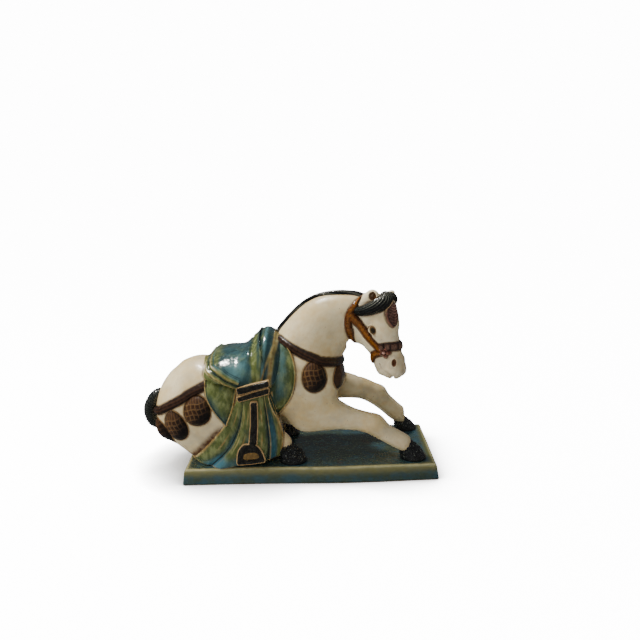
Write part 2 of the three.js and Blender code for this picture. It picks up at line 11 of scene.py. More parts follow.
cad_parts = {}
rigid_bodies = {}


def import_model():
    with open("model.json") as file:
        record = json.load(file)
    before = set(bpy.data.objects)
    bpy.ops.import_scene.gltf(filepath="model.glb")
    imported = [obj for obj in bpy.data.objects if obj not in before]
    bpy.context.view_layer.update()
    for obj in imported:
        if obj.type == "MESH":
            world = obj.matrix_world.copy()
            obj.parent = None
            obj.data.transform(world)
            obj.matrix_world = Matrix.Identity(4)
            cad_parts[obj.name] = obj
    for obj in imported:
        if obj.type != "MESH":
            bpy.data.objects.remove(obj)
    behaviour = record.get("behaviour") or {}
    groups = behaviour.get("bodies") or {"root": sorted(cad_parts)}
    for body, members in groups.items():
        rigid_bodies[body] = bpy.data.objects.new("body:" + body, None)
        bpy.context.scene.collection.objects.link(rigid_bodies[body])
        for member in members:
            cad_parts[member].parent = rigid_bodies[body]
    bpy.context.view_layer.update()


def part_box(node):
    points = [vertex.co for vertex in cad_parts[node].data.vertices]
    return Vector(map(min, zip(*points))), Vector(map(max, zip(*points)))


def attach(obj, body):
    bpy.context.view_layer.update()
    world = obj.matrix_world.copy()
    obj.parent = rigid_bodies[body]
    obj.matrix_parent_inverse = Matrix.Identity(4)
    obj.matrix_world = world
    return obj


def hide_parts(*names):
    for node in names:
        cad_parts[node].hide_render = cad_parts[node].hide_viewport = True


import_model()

figure = {
    "drawnTop": 163.2,      # the height that the forms are drawn at
    "near": -1,             # the horse's right side, towards -Y
    "off": 1,               # the horse's left side
    "reach": 62,            # how far from a point inside it the horse is looked at
}
horseLow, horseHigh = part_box("horse")
plinthLow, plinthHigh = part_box("plinth")
metre = (horseHigh.z - horseLow.z) / figure["drawnTop"]
sides = (figure["near"], figure["off"])


def toFrame(points):
    return np.asarray(points) * metre + np.array([0, 0, horseLow.z])


# Forms are points, quads and triangles, with painted values for each point

def form(points, quads=(), tris=(), **paint):
    return {
        "points": np.asarray(points, float).reshape(-1, 3),
        "quads": np.asarray(quads, int).reshape(-1, 4),
        "tris": np.asarray(tris, int).reshape(-1, 3),
        "paint": {name: np.asarray(value, float).ravel() for name, value in paint.items()},
    }


def together(forms):
    starts = np.cumsum([0] + [len(f["points"]) for f in forms])
    return form(
        np.concatenate([f["points"] for f in forms]),
        np.concatenate([f["quads"] + start for f, start in zip(forms, starts)]),
        np.concatenate([f["tris"] + start for f, start in zip(forms, starts)]),
        **{name: np.concatenate([f["paint"][name] for f in forms]) for name in forms[0]["paint"]},
    )


def triangles(f):
    return np.concatenate([f["tris"], f["quads"][:, [0, 1, 2]], f["quads"][:, [0, 2, 3]]])


def outwards(f):
    a, b, c = f["points"][triangles(f).T]
    if np.einsum("ij,ij->i", a, np.cross(b, c)).sum() < 0:
        f["quads"], f["tris"] = f["quads"][:, ::-1], f["tris"][:, ::-1]
    return f


def normals(f):
    tris = triangles(f)
    a, b, c = f["points"][tris.T]
    facing = np.cross(b - a, c - a)
    return unit(np.stack([sum(np.bincount(tris[:, i], facing[:, k], len(f["points"])) for i in range(3))
                          for k in range(3)], 1))


def moved(f, move):
    return {**f, "points": move(f["points"])}


def coated(f, **paint):
    # the values that its glaze reads at each point
    count = len(f["points"])
    f["paint"] = {name: np.broadcast_to(value, count).astype(float) for name, value in paint.items()}
    return f


def painted(f, *names):
    return (f["paint"][name] for name in names)


def unit(vectors):
    vectors = np.asarray(vectors, float)
    return vectors / np.maximum(np.linalg.norm(vectors, axis=-1, keepdims=True), 1e-12)


def clamped(value):
    return np.clip(value, 0, 1)


def blendStep(value, low, high):
    t = clamped((np.asarray(value, float) - low) / (high - low))
    return t * t * (3 - 2 * t)


def bump(value, centre, half):
    return np.exp(-(((np.asarray(value, float) - centre) / half) ** 2))


def bumps(value, *spots):
    return sum(bump(value, centre, half) for centre, half in spots)


def turns(count):
    return 2 * np.pi * np.arange(count) / count


def eased(values, rounds, axes=(0,)):
    # values move towards their neighbours along each axis, and the ends stay
    for axis in axes * rounds:
        line = np.moveaxis(values, axis, 0)
        line[1:-1] = (line[:-2] + 2 * line[1:-1] + line[2:]) / 4
    return values


def easedRound(values, rounds, axis=0):
    for _ in range(rounds):
        values = (np.roll(values, 1, axis) + 2 * values + np.roll(values, -1, axis)) / 4
    return values


def curveThrough(points, places):
    # a smooth curve through points, evenly timed from 0 at the first to 1 at the last
    points = np.asarray(points, float)
    spot = clamped(np.asarray(places, float)) * (len(points) - 1)
    first = np.minimum(spot.astype(int), len(points) - 2)
    part = (spot - first)[:, None]
    padded = np.vstack([2 * points[0] - points[1], points, 2 * points[-1] - points[-2]])
    before, start, end, after = (padded[first + i] for i in range(4))

    def gap(a, b):
        return np.maximum(np.linalg.norm(b - a, axis=1, keepdims=True), 1e-4) ** 0.5

    one, two, three = gap(before, start), gap(start, end), gap(end, after)
    leave = ((start - before) / one - (end - before) / (one + two) + (end - start) / two) * two
    arrive = ((end - start) / two - (after - start) / (two + three) + (after - end) / three) * two
    return (start + leave * part + (3 * (end - start) - 2 * leave - arrive) * part**2
            + (2 * (start - end) + leave + arrive) * part**3)


def heading(points, places, step=1e-4):
    return unit(curveThrough(points, np.add(places, step)) - curveThrough(points, np.subtract(places, step)))


def loft(rings, wrap=False, **paint):
    rings = np.asarray(rings, float)
    rows, around = rings.shape[:2]
    row, turn = np.meshgrid(np.arange(rows if wrap else rows - 1), np.arange(around), indexing="ij")
    following = (row + 1) % rows
    here, beside = row * around + turn, row * around + (turn + 1) % around
    above, across = following * around + turn, following * around + (turn + 1) % around
    quads = np.stack([here, beside, across, above], -1).reshape(-1, 4)
    points = rings.reshape(-1, 3)
    values = {name: np.broadcast_to(value, (rows, around)) for name, value in paint.items()}
    if wrap:
        return outwards(form(points, quads, **values))
    turn = np.arange(around)
    last = (rows - 1) * around
    caps = np.full(around, len(points))
    tris = np.concatenate([
        np.stack([(turn + 1) % around, turn, caps], 1),
        np.stack([last + turn, last + (turn + 1) % around, caps + 1], 1),
    ])
    points = np.vstack([points, rings[0].mean(0), rings[-1].mean(0)])
    values = {name: np.append(v.ravel(), [v[0].mean(), v[-1].mean()]) for name, v in values.items()}
    return outwards(form(points, quads, tris, **values))


def limb(stations, around=40, along=64, square=2.0, blunt=(0.15, 0.15), ripple=None):
    # a station is a centre, then a half width and a half depth above and below
    share = np.linspace(0, 1, along + 1)
    t = (share + (1 - np.cos(np.pi * share)) / 2) / 2
    table = np.array(stations, float)
    centre, half = curveThrough(table[:, :3], t), curveThrough(table[:, 3:], t)
    ahead = heading(table[:, :3], t)
    upward = unit(np.cross(ahead, (0, 1, 0)))
    aside = np.cross(upward, ahead)
    fromEnd = np.minimum(np.minimum(t / blunt[0], (1 - t) / blunt[1]), 1)
    half = half * np.maximum(0.03, np.sqrt(1 - (1 - fromEnd) ** 2))[:, None]
    if ripple:
        half = half * ripple(t)[:, None]
    angle = turns(around)
    level, width = (np.sign(v) * np.abs(v) ** (2 / square) for v in (np.sin(angle), np.cos(angle)))
    depth = np.where(level > 0, half[:, 1:2], half[:, 2:3]) * level
    rings = (centre[:, None] + aside[:, None] * (half[:, :1] * width)[..., None]
             + upward[:, None] * depth[..., None])
    return loft(rings, along=np.broadcast_to(t[:, None], depth.shape))


def opposite(stations):
    return [(s[0], -s[1], *s[2:]) for s in stations]


def ball(centre, half, around=28, rows=18):
    tilt = np.linspace(0.04, np.pi - 0.04, rows)
    turn = turns(around)
    rings = np.stack(np.broadcast_arrays(
        np.sin(tilt)[:, None] * np.cos(turn), np.sin(tilt)[:, None] * np.sin(turn), np.cos(tilt)[:, None],
    ), -1)
    return loft(rings * np.array(half) + np.array(centre))


def tube(points, radii, around=14, along=40):
    line = np.array(points, float)
    thick = np.broadcast_to(np.array(radii, float), len(points))
    return limb([(*p, r, r, r) for p, r in zip(line, thick)], around, along, blunt=(0.08, 0.08))


# Clay: a block on a fine grid, which forms are pressed on to and cut out of with soft joins

class Clay:
    def __init__(self, low, high, grain, reach=9):
        self.grain, self.reach = grain, reach
        self.low = np.floor(np.array(low) / grain).astype(int)
        size = np.ceil(np.array(high) / grain).astype(int) - self.low
        self.far = reach * grain
        self.field = np.full(size, self.far, np.float32)
        self.scale = openvdb.createLinearTransform(voxelSize=grain)

    def fieldOf(self, f):
        grid = openvdb.FloatGrid.createLevelSetFromPolygons(
            f["points"].astype(np.float32), triangles=f["tris"].astype(np.uint32),
            quads=f["quads"].astype(np.uint32), transform=self.scale, halfWidth=float(self.reach))
        block = np.empty(self.field.shape, np.float32)
        grid.copyToArray(block, ijk=tuple(int(i) for i in self.low))
        return block

    def add(self, f, soft):
        other = self.fieldOf(f)
        share = clamped(0.5 + 0.5 * (self.field - other) / soft)
        joined = self.field + (other - self.field) * share - soft * share * (1 - share)
        self.field = np.where(other < 0.999 * self.far, joined, self.field)
        return self

    def cut(self, f, soft):
        # what is cut out of the clay is added to the air
        self.field = -self.field
        self.add(f, soft)
        self.field = -self.field
        return self

    def keep(self, outside):
        # outside takes the grid's places and says how far each lies beyond what is kept
        places = [((np.arange(n) + low) * self.grain).astype(np.float32)
                  for n, low in zip(self.field.shape, self.low)]
        self.field = np.maximum(self.field, outside(*np.meshgrid(*places, indexing="ij", sparse=True)))
        return self

    def toForm(self, smoothing=4):
        grid = openvdb.FloatGrid(background=self.far)
        grid.transform = self.scale
        grid.gridClass = openvdb.GridClass.LEVEL_SET
        grid.copyFromArray(np.clip(self.field, -self.far, self.far), ijk=tuple(int(i) for i in self.low))
        points, tris, quads = grid.convertToPolygons(isovalue=0.0, adaptivity=0.0)
        return smoothed(outwards(form(points, quads, tris)), smoothing)


def smoothed(f, rounds, strength=0.5):
    quads, tris = f["quads"], f["tris"]
    pairs = np.concatenate([np.stack([part, np.roll(part, -1, 1)], -1).reshape(-1, 2)
                            for part in (quads, tris)])
    pairs = np.unique(np.sort(pairs, axis=1), axis=0)
    count = len(f["points"])
    one, two = np.concatenate([pairs, pairs[:, ::-1]]).T
    neighbours = np.maximum(np.bincount(one, minlength=count), 1)
    for _ in range(rounds):
        middle = np.stack([np.bincount(one, f["points"][two, axis], count) for axis in range(3)], 1)
        f["points"] = f["points"] + (middle / neighbours[:, None] - f["points"]) * strength
    return f


class Surface:
    # what relief is laid on: it is found by looking at it from outside
    def __init__(self, *forms):
        whole = together([form(f["points"], f["quads"], f["tris"]) for f in forms])
        self.tree = BVHTree.FromPolygons(
            whole["points"].tolist(), whole["quads"].tolist() + whole["tris"].tolist())

    def seen(self, aims, views, reach=figure["reach"]):
        aims, views = np.broadcast_arrays(np.asarray(aims, float), unit(views))
        found = aims.reshape(-1, 3).copy()
        for i, (aim, view) in enumerate(zip(aims.reshape(-1, 3), views.reshape(-1, 3))):
            hit = self.tree.ray_cast((aim + view * reach).tolist(), (-view).tolist(), 2 * reach)[0]
            if hit is not None:
                found[i] = hit
        return found.reshape(aims.shape)

    def distance(self, points):
        return np.array([self.tree.find_nearest(p)[3] for p in points.tolist()])


# The head is drawn in profile, facing +X, and turned towards the near side about the poll

poll = {"at": np.array([60.0, -9.0, 0.0]), "turn": math.radians(-32)}


def spin(vectors, angle):
    x, y, z = np.moveaxis(np.asarray(vectors, float), -1, 0)
    c, s = math.cos(angle), math.sin(angle)
    return np.stack([x * c - y * s, x * s + y * c, z], -1)


def turned(points):
    return spin(points, poll["turn"]) + poll["at"]


def straight(points):
    return spin(np.asarray(points) - poll["at"], -poll["turn"])


# A sight is a point inside the horse and the direction it is seen from. The azimuth is 0 from the front and
# 90 from the side that is being made, and an elevation of 90 looks straight down.

def sights(stations, side, onHead=False):
    table = np.array([(*s, *(0,) * (5 - len(s))) for s in stations], float)
    azimuth, elevation = np.radians(table[:, 3]) * side, np.radians(table[:, 4])
    aims = table[:, :3] * (1, side, 1)
    views = np.stack([np.cos(azimuth) * np.cos(elevation), np.sin(azimuth) * np.cos(elevation),
                      np.sin(elevation)], 1)
    return (turned(aims), spin(views, poll["turn"])) if onHead else (aims, views)


def acrossHorse(stations, onHead=False):
    near, off = (sights(stations, side, onHead) for side in sides)
    return [np.concatenate([n, o[-2::-1]]) for n, o in zip(near, off)]


def band(surface, look, width, profile, count=120, across=15, sunk=1.5, taper=None, wrap=False,
         reach=figure["reach"]):
    # a raised strip along a row of sights. Its profile takes places from side to side and along, in mm
    aims, views = look
    count = len(aims) if wrap else count
    t = np.linspace(0, 1, count)
    if not wrap:
        aims, views = curveThrough(aims, t), unit(curveThrough(views, t))
    line = eased(surface.seen(aims, views, reach), 3)
    ahead = np.roll(line, -1, 0) - np.roll(line, 1, 0)
    if not wrap:
        ahead[0], ahead[-1] = line[1] - line[0], line[-1] - line[-2]
    ahead = unit(ahead)
    aside = unit(np.cross(views, ahead))
    outward = np.cross(ahead, aside)
    steps = np.linalg.norm(np.diff(line, axis=0), axis=1)
    run = np.concatenate([[0], np.cumsum(steps)])
    half = width / 2 * (taper(t) if taper else np.ones_like(t))
    a = np.linspace(-1, 1, across)
    starts = line[:, None] + aside[:, None] * (a * half[:, None])[..., None]
    base = surface.seen(starts, outward[:, None], reach=12)
    slip = np.einsum("ijk,ijk->ij", base - starts, np.broadcast_to(outward[:, None], base.shape))
    slip = eased(np.clip(slip, -5, 5), 2)
    base = starts + outward[:, None] * slip[..., None]
    a, run = np.broadcast_arrays(a, run[:, None])
    front = base + outward[:, None] * profile(a, run)[..., None]
    under = [-1, across // 2, 0]
    order = [*range(across), *under]
    rings = np.concatenate([front, base[:, under] - outward[:, None] * sunk], axis=1)
    return loft(rings, wrap, across=a[:, order], along=run[:, order])


def patch(surface, look, outline, height, rings=36, around=110, tilt=0.0, sunk=2.0, reach=14):
    # a raised plaque around one sight. Its outline takes an angle, and its height takes places on the plaque
    aim, view = (np.asarray(part)[0] for part in look)
    upright = unit(np.array([0, 0, 1]) - view * view[2])
    aside = unit(np.cross(upright, view))
    c, s = math.cos(math.radians(tilt)), math.sin(math.radians(tilt))
    upright, aside = upright * c + aside * s, aside * c - upright * s
    middle = surface.seen(aim, view)
    share = (np.arange(rings + 1) / rings)[1:, None]
    p, q = (share * part for part in outline(turns(around)))
    share = np.broadcast_to(share, p.shape)
    starts = middle + aside * p[..., None] + upright * q[..., None]
    base = surface.seen(starts, view, reach=reach)
    slip = easedRound(np.clip(np.einsum("ijk,k->ij", base - starts, view), -9, 9), 2, axis=1)
    front = starts + view * (slip + height(p, q, share))[..., None]
    foot = starts[-1:] + view * (slip[-1:] - sunk)[..., None]
    inner = foot * 0.2 + middle * 0.8 - view * sunk * 0.8
    rows = [*range(rings), -1, -1]
    return loft(np.concatenate([front, foot, inner]), p=p[rows], q=q[rows], share=share[rows])


print("forms: tools ready")

# Body

bodyShape = {
    "grain": 1.2, "low": (-172, -62, -8), "high": (100, 62, 172),
    "trunk": [(-153, 0, 44, 22, 13, 17), (-142, 0, 45, 33, 27, 34), (-131, 0, 46.4, 38.5, 37.4, 41.5),
              (-118, 0, 48, 42, 45, 47), (-102, 0, 51, 42.7, 47, 45), (-82, 0, 55, 43, 42, 42),
              (-45, 0, 65, 38, 42, 33), (-10, 0, 72, 36, 42, 35), (18, 0, 76, 31, 32, 27),
              (34.5, 0, 78, 21, 20, 18)],
    "neck": [(-14, 0, 70, 31, 36, 36), (4, 0, 106, 29, 34.5, 32), (18, -1, 126, 23, 29, 31),
             (32, -3, 134, 19, 24, 25), (44, -6, 137, 16, 20, 21), (58, -9, 137, 14, 17, 17)],
    "shoulder": [(-2, -18, 102, 15, 20, 18), (0, -21, 80, 17, 28, 26), (-2, -23, 60, 17, 25, 30),
                 (-4, -24, 42, 15, 18, 20)],
    "nearForeleg": [(-24, -20, 62, 17, 22, 22), (-2, -24, 51, 16, 24, 26), (20, -27, 44, 13, 17, 17.5),
                    (36, -29, 39, 11, 13, 10.5), (50, -30, 36, 10, 11, 9), (61, -32, 32.5, 10.5, 11.5, 9),
                    (73, -33, 24, 9, 9.7, 7.6), (86, -34, 16, 9.3, 10, 7), (95.5, -35, 11, 8, 8.5, 5.5)],
    "offForeleg": [(-20, 20, 68, 17, 22, 22), (4, 23, 60, 15, 22, 22), (24, 25, 56, 13, 17, 16),
                   (41, 27, 53, 11.5, 13.5, 13), (57, 28, 48.5, 10.5, 11.5, 11),
                   (70, 30, 40.5, 10.5, 11, 10.5), (81, 32, 30, 9, 9.5, 9.5), (92, 34, 18.5, 9.5, 10, 8.5),
                   (102.5, 35, 11.5, 8.5, 7.5, 5)],
    "thigh": [(-128, -14, 38, 23, 29, 30), (-102, -24, 41, 21, 30, 31), (-74, -29, 42, 17, 26, 26),
              (-48, -31, 46, 12, 16, 16)],
    "knees": [((63, -33, 36), (8.5, 8, 7.5)), ((72, 29, 45.5), (8.5, 7.5, 7))],
    "shank": [(-120, -18, 12, 13, 14, 12), (-92, -30, 14, 13, 14, 14), (-62, -33, 22, 11, 12, 12),
              (-40, -32, 28, 9.5, 9.5, 9.5), (-28, -31, 20, 8.5, 8.5, 8.5), (-20, -33, 10, 8.5, 8, 8)],
    # where the body ends: at the throat strap above the chin, at a front below it, and at its sole
    "chinHeight": 100, "breastHeight": 62, "breastFront": 50, "sole": 0.3,
}
headShape = {
    "grain": 0.55, "low": (-24, -27, 66), "high": (44, 27, 170),
    "skull": [(4, 0, 157, 11, 12, 13), (6, 0, 146, 14.5, 21, 19), (7, 0, 132, 16, 23, 22),
              (9, 0, 118, 14.5, 22, 19), (15, 0, 105, 11.5, 18, 14.5), (19, 0, 95, 10.5, 16, 14.5),
              (22, 0, 87, 11.5, 15.5, 13.5), (24.5, 0, 80, 10.5, 12.5, 10)],
    "chin": [(10.5, 0, 97, 8, 8, 6), (15.5, 0, 88, 9, 8, 6.3), (19, 0, 80, 7.5, 6, 4.6)],
    "cheek": [((-2, 5, 124), (15, 10, 16)), ((-7, 5, 120.5), (11, 9, 12))],
    "seam": {"x": -15.2, "z": 130, "above": 0.021, "below": 0.012, "lap": 0.6},
}


def seamAt(z):
    # where the throat strap runs: behind the ears and round the throat
    seam = headShape["seam"]
    return seam["x"] + np.where(z > seam["z"], seam["above"], seam["below"]) * (z - seam["z"]) ** 2


def neckBlock():
    return limb(bodyShape["neck"], 56, 80, blunt=(0.1, 0.12))


def headBlocks():
    return [
        (limb(headShape["skull"], 56, 80, square=2.3, blunt=(0.1, 0.1)), 4),
        *[(ball((x, side * y, z), half), 3) for (x, y, z), half in headShape["cheek"] for side in sides],
    ]


def makeBody():
    shape = bodyShape
    clay = Clay(shape["low"], shape["high"], shape["grain"])
    clay.add(limb(shape["trunk"], 64, 96, blunt=(0.12, 0.12)), 1)
    clay.add(neckBlock(), 9)
    for name, soft in (("shoulder", 9), ("thigh", 10), ("shank", 5)):
        clay.add(limb(shape[name]), soft)
        clay.add(limb(opposite(shape[name])), soft)
    for name in ("nearForeleg", "offForeleg"):
        clay.add(limb(shape[name], blunt=(0.16, 0.06)), 7)
    for at, half in shape["knees"]:
        clay.add(ball(at, half), 4)
    for block, soft in headBlocks():
        clay.add(moved(block, turned), soft)
    lap = headShape["seam"]["lap"]

    def beyond(x, y, z):
        local = straight(np.stack(np.broadcast_arrays(x, y, z), -1))
        height = local[..., 2]
        ahead = np.where(height > shape["breastHeight"], x - shape["breastFront"], -np.inf)
        ahead = np.where(height > shape["chinHeight"], local[..., 0] - seamAt(height) - lap, ahead)
        return np.maximum(ahead, shape["sole"] - z).astype(np.float32)

    return clay.keep(beyond).toForm(6)


body = makeBody()
print("body:", len(body["points"]), "points")


# Head

def makeHead():
    shape = headShape
    clay = Clay(shape["low"], shape["high"], shape["grain"])
    clay.add(moved(neckBlock(), straight), 1)
    for block, soft in headBlocks():
        clay.add(block, soft)
    clay.add(limb(shape["chin"], 32, 40, blunt=(0.15, 0.25)), 1.6)
    for side in sides:
        carveSide(clay, side)
    clay.cut(ball(face["notch"]["at"], face["notch"]["half"]), 1.5)
    lap = shape["seam"]["lap"]
    clay.keep(lambda x, y, z: (seamAt(z) - lap - x).astype(np.float32))
    return moved(clay.toForm(4), turned)


face = {
    "socket": {"at": (10, 18, 127.5), "half": (7, 4.6, 8)},
    "eye": {"at": (9.4, 14.2, 125.6), "half": (3.6, 2.6, 4.4)},
    "crest": [(11.5, 13.8, 120.5), (16, 12.2, 113), (19.5, 10.6, 106)],
    "upperLid": [(7, 15.4, 126.4), (7.7, 15.8, 128), (9.4, 15.4, 128.9), (11.4, 14.6, 128),
                 (12.7, 13.6, 125.4)],
    "lowerLid": [(5.4, 15.2, 122.6), (8.6, 14.8, 120.4), (12, 13.6, 119.8), (13.4, 12.8, 116.8)],
    "tear": [(12.2, 14.6, 124.5), (13, 14.2, 120), (13.4, 13.6, 116.5)],
    "muzzle": {"at": (27, 4, 84.6), "half": (10, 7.4, 7.6)},
    "nostrilRim": {"at": (28.8, 7.8, 94.2), "half": (5, 4, 5.8)},
    "nostrilFold": [(29.6, 11, 90.6), (27.2, 11.6, 91), (26, 11.6, 94.4), (27.4, 11.2, 98.6)],
    "nostril": {"at": (31, 10.4, 95), "half": (1.6, 2.7, 3.5), "stained": (2.2, 3.3, 3.8)},
    "mouth": [(29.6, 8, 81), (25.4, 10.8, 83.2), (21.4, 11.6, 85.2), (18, 11.2, 88.2), (16, 10.2, 92)],
    "notch": {"at": (27.6, 0, 78.6), "half": (2.2, 16, 3)},
    "dimple": {"at": (23.6, 11.4, 84.8), "half": (1.3, 1.3, 1.3)},
    "underEar": [(-6, 13.5, 147.5), (1, 14.5, 150), (8.5, 14.5, 152)],
    "ear": {
        "near": {"root": (-3, -11, 147), "tip": (11.5, -11.5, 161.5), "half": 7.5,
                 "bowl": ((10, -11.5, 157), (6.6, 4.6, 6.4)),
                 "hollow": ((11.4, -15.2, 157.6), (3.5, 4.0, 4.1))},
        "off": {"root": (7, 13, 146), "tip": (17, 20, 156), "half": 6.5,
                "bowl": ((15.5, 18.5, 154), (4.6, 3.6, 4.4)), "hollow": ((18.5, 20.5, 154.5), (3, 2.8, 2.8))},
    },
    "earSteps": [(0, 0.8, 1), (0.6, 0.7, 0.85), (1, 0.3, 0.45)],    # how far up, and its width and depth
    "radii": {"crest": (2, 2.4, 1.6), "upperLid": (0.5, 0.9, 1.0, 0.9, 0.5), "lowerLid": (0.4, 0.6, 0.6, 0.4),
              "nostrilFold": (0.8, 1.1, 1.1, 0.6), "mouth": (2.0, 1.6, 1.3, 1.1, 0.6)},
    # the steps of the carving, with how soft each join is
    "steps": [("muzzle", Clay.add, 4), ("socket", Clay.cut, 3.5), ("crest", Clay.add, 4),
              ("eye", Clay.add, 0.8), ("upperLid", Clay.add, 1.2), ("lowerLid", Clay.add, 1.0),
              ("nostrilRim", Clay.add, 3), ("nostrilFold", Clay.add, 1.2), ("nostril", Clay.cut, 0.7),
              ("mouth", Clay.cut, 0.9), ("dimple", Clay.cut, 0.6)],
}


def carveSide(clay, side):
    for name, work, soft in face["steps"]:
        part = face[name]
        if name in face["radii"]:
            block = tube([(x, side * y, z) for x, y, z in part], face["radii"][name])
        else:
            x, y, z = part["at"]
            block = ball((x, side * y, z), part["half"])
        work(clay, block, soft)
    shape = face["ear"]["near" if side < 0 else "off"]
    root, tip, half = np.array(shape["root"]), np.array(shape["tip"]), shape["half"]
    clay.add(limb([(*(root + (tip - root) * t), half * wide, half * deep, half * deep)
                   for t, wide, deep in face["earSteps"]], 36, 40, blunt=(0.1, 0.3)), 1.5)
    clay.add(ball(*shape["bowl"]), 1.5)
    clay.cut(ball(*shape["hollow"]), 0.9)


head = makeHead()
print("head:", len(head["points"]), "points")


# Tail, hooves, and the cloth under the saddle

tailShape = {
    "stations": [(-142, 0, 60, 7, 6, 6), (-152, 0, 57, 9, 7.5, 7), (-159, 0, 44.5, 10, 8, 7.5),
                 (-157, 0, 33, 9.5, 7.5, 7), (-149, 0, 27, 7, 6.5, 6)],
    "ribs": 25, "depth": 0.03,
}
hoofShape = {
    # where each stands, half its length and width, how tall, and how shaggy
    "places": [(99, -35, 12.6, 10.5, 1, 0.04), (101.5, 37, 11.8, 10.5, 0.84, 0.03),
               (-16.5, -35, 13.6, 11, 1, 0.07), (-26, 31, 13.5, 11, 1, 0.06)],
    "levels": [(0, 0.98, 0), (1.2, 1, 0), (6, 0.9, 1.5), (11, 0.72, 3.6), (14.5, 0.58, 5.5),
               (16.5, 0.42, 6.5)],
}


def makeTail():
    def comb(t):
        return np.cos(2 * np.pi * tailShape["ribs"] * t)

    f = limb(tailShape["stations"], 56, 220, blunt=(0.1, 0.15),
             ripple=lambda t: 1 + tailShape["depth"] * comb(t))
    return coated(f, pale=0.2 + 0.2 * comb(f["paint"]["along"]))


def makeHoof(x, y, long, wide, tall, shaggy):
    levels = curveThrough(hoofShape["levels"], np.linspace(0, 1, 30))
    angle = turns(64)
    rings = []
    for z, size, back in levels:
        # shaggy above, smooth towards the ground
        hair = blendStep(z, 2, 9) * (np.cos(7 * angle + 0.5 * z) + 0.7 * np.cos(11 * angle - 0.8 * z)
                                     + 0.5 * np.cos(17 * angle + z))
        wall = size * (1 + 0.012 * np.cos(14 * angle) + shaggy * hair)
        rings.append(np.stack([x + np.cos(angle) * long * wall - back, y + np.sin(angle) * wide * wall,
                               z * tall + 0.8 * shaggy * hair * z], 1))
    f = loft(np.array(rings))
    # painted glints on the hoof above the ground, set in small flecks by its glaze
    return coated(f, pale=blendStep(f["points"][:, 2], 1, 5))


skirtShape = {
    "ribs": [[(-67, 44, 66), (-78, 47, 44), (-96, 43, 22.5), (-116, 27, 2)],
             [(-62, 46, 66), (-68, 48, 43), (-80, 47, 21), (-101, 40, 0)],
             [(-57, 47, 67), (-60, 49, 43), (-68, 50, 21), (-86, 48, -1)],
             [(-50, 48, 69), (-51, 50, 43), (-55, 50, 21), (-64, 47, 1)],
             [(-42, 48, 71), (-40, 49, 44), (-40, 48, 24), (-42, 45, 4)],
             [(-36, 46, 73), (-30, 45, 51), (-25, 42, 30), (-27, 37, 7)]],
    "columns": 170, "rows": 120, "deep": 14, "thick": 4,
    "clear": 1.8, "pushed": 12,     # how far it lies off the haunch, and how far that may push it out
    # its folds: how far across from the rear edge, how wide, and how far they stand out
    "folds": [(0.12, 0.08, 1.7), (0.28, 0.04, -1.9), (0.39, 0.07, 1.3), (0.52, 0.04, -0.5),
              (0.66, 0.03, -0.5), (0.735, 0.05, 1.5), (0.82, 0.016, -2.0), (0.855, 0.02, 0.6),
              (0.905, 0.028, -1.2), (0.955, 0.025, 1.1)],
    # how far across its worn ridges and its olive runs of glaze are, and how wide
    "ridges": [(0.15, 0.012), (0.37, 0.01), (0.46, 0.01), (0.735, 0.012), (0.955, 0.012)],
    "runs": [(0.1, 0.14), (0.41, 0.08), (0.72, 0.075), (0.965, 0.035)],
}


def makeSkirt(side):
    shape = skirtShape
    u, v = np.linspace(0, 1, shape["columns"])[None], np.linspace(0, 1, shape["rows"])[:, None]
    ribs = np.stack([curveThrough(rib, v[:, 0]) for rib in shape["ribs"]], 1)
    front = np.stack([curveThrough(row, u[0]) for row in ribs])
    rise = sum(height * bump(u, at, half) for at, half, height in shape["folds"]) * (0.35 + 0.65 * v)
    rim = 1.5 * (bumps(u, (0, 0.012), (1, 0.012)) + bump(v, 1, 0.012))
    wave = 0.5 * np.sin(26 * u + 3 * v) * np.sin(9 * v) * v
    over = onBody.seen(front * (1, 0, 1), (0, side, 0))[..., 1] * side + shape["clear"]
    over = np.minimum(eased(over, 12, (0, 1)), front[..., 1] + shape["pushed"])
    front[..., 1] = np.maximum(front[..., 1], over) + rise - rim + wave
    under = [-1, -1, shape["columns"] // 2, 0, 0]
    back = front[:, under]
    back[..., 1] -= [shape["thick"], *[shape["deep"]] * 3, shape["thick"]]
    edge = bumps(u, (0, 0.022), (1, 0.02)) + bump(v, 1, 0.016)
    creases = 0.55 * bump(u, 0.845, 0.007) + 0.4 * bump(u, 0.325, 0.01) * bump(v, 0.45, 0.4)
    ridges = 0.6 * bumps(u, *shape["ridges"]) * (0.5 + 0.5 * np.sin(17 * v + 4))
    ridges = ridges * (1 - blendStep(v, 0.72, 0.88))
    olive = bumps(u, *shape["runs"]) + 0.6 * bump(v, 0, 0.2)
    pool = blendStep(v, 0.72, 0.95) * bump(u, 0.33, 0.2)
    paint = {
        "line": clamped(edge + creases + ridges),
        "deep": clamped(bumps(u, (0.28, 0.011), (0.82, 0.009))) * (1 - bump(v, 1, 0.02)),
        "olive": clamped(1.15 * olive * (1 - 0.9 * pool)),
        "pale": clamped(0.5 * pool * bump(v, 0.9, 0.07)),
        "stain": clamped(0.8 * pool + 0.6 * bump(u, 0.885, 0.03) * blendStep(v, 0.2, 0.5)
                         + 0.4 * bump(u, 0.25, 0.06) * blendStep(v, 0.3, 0.7)),
    }
    columns = [*range(shape["columns"]), *under]
    rings = np.concatenate([front, back], 1) * (1, side, 1)
    return loft(rings, **{name: values[:, columns] for name, values in paint.items()})


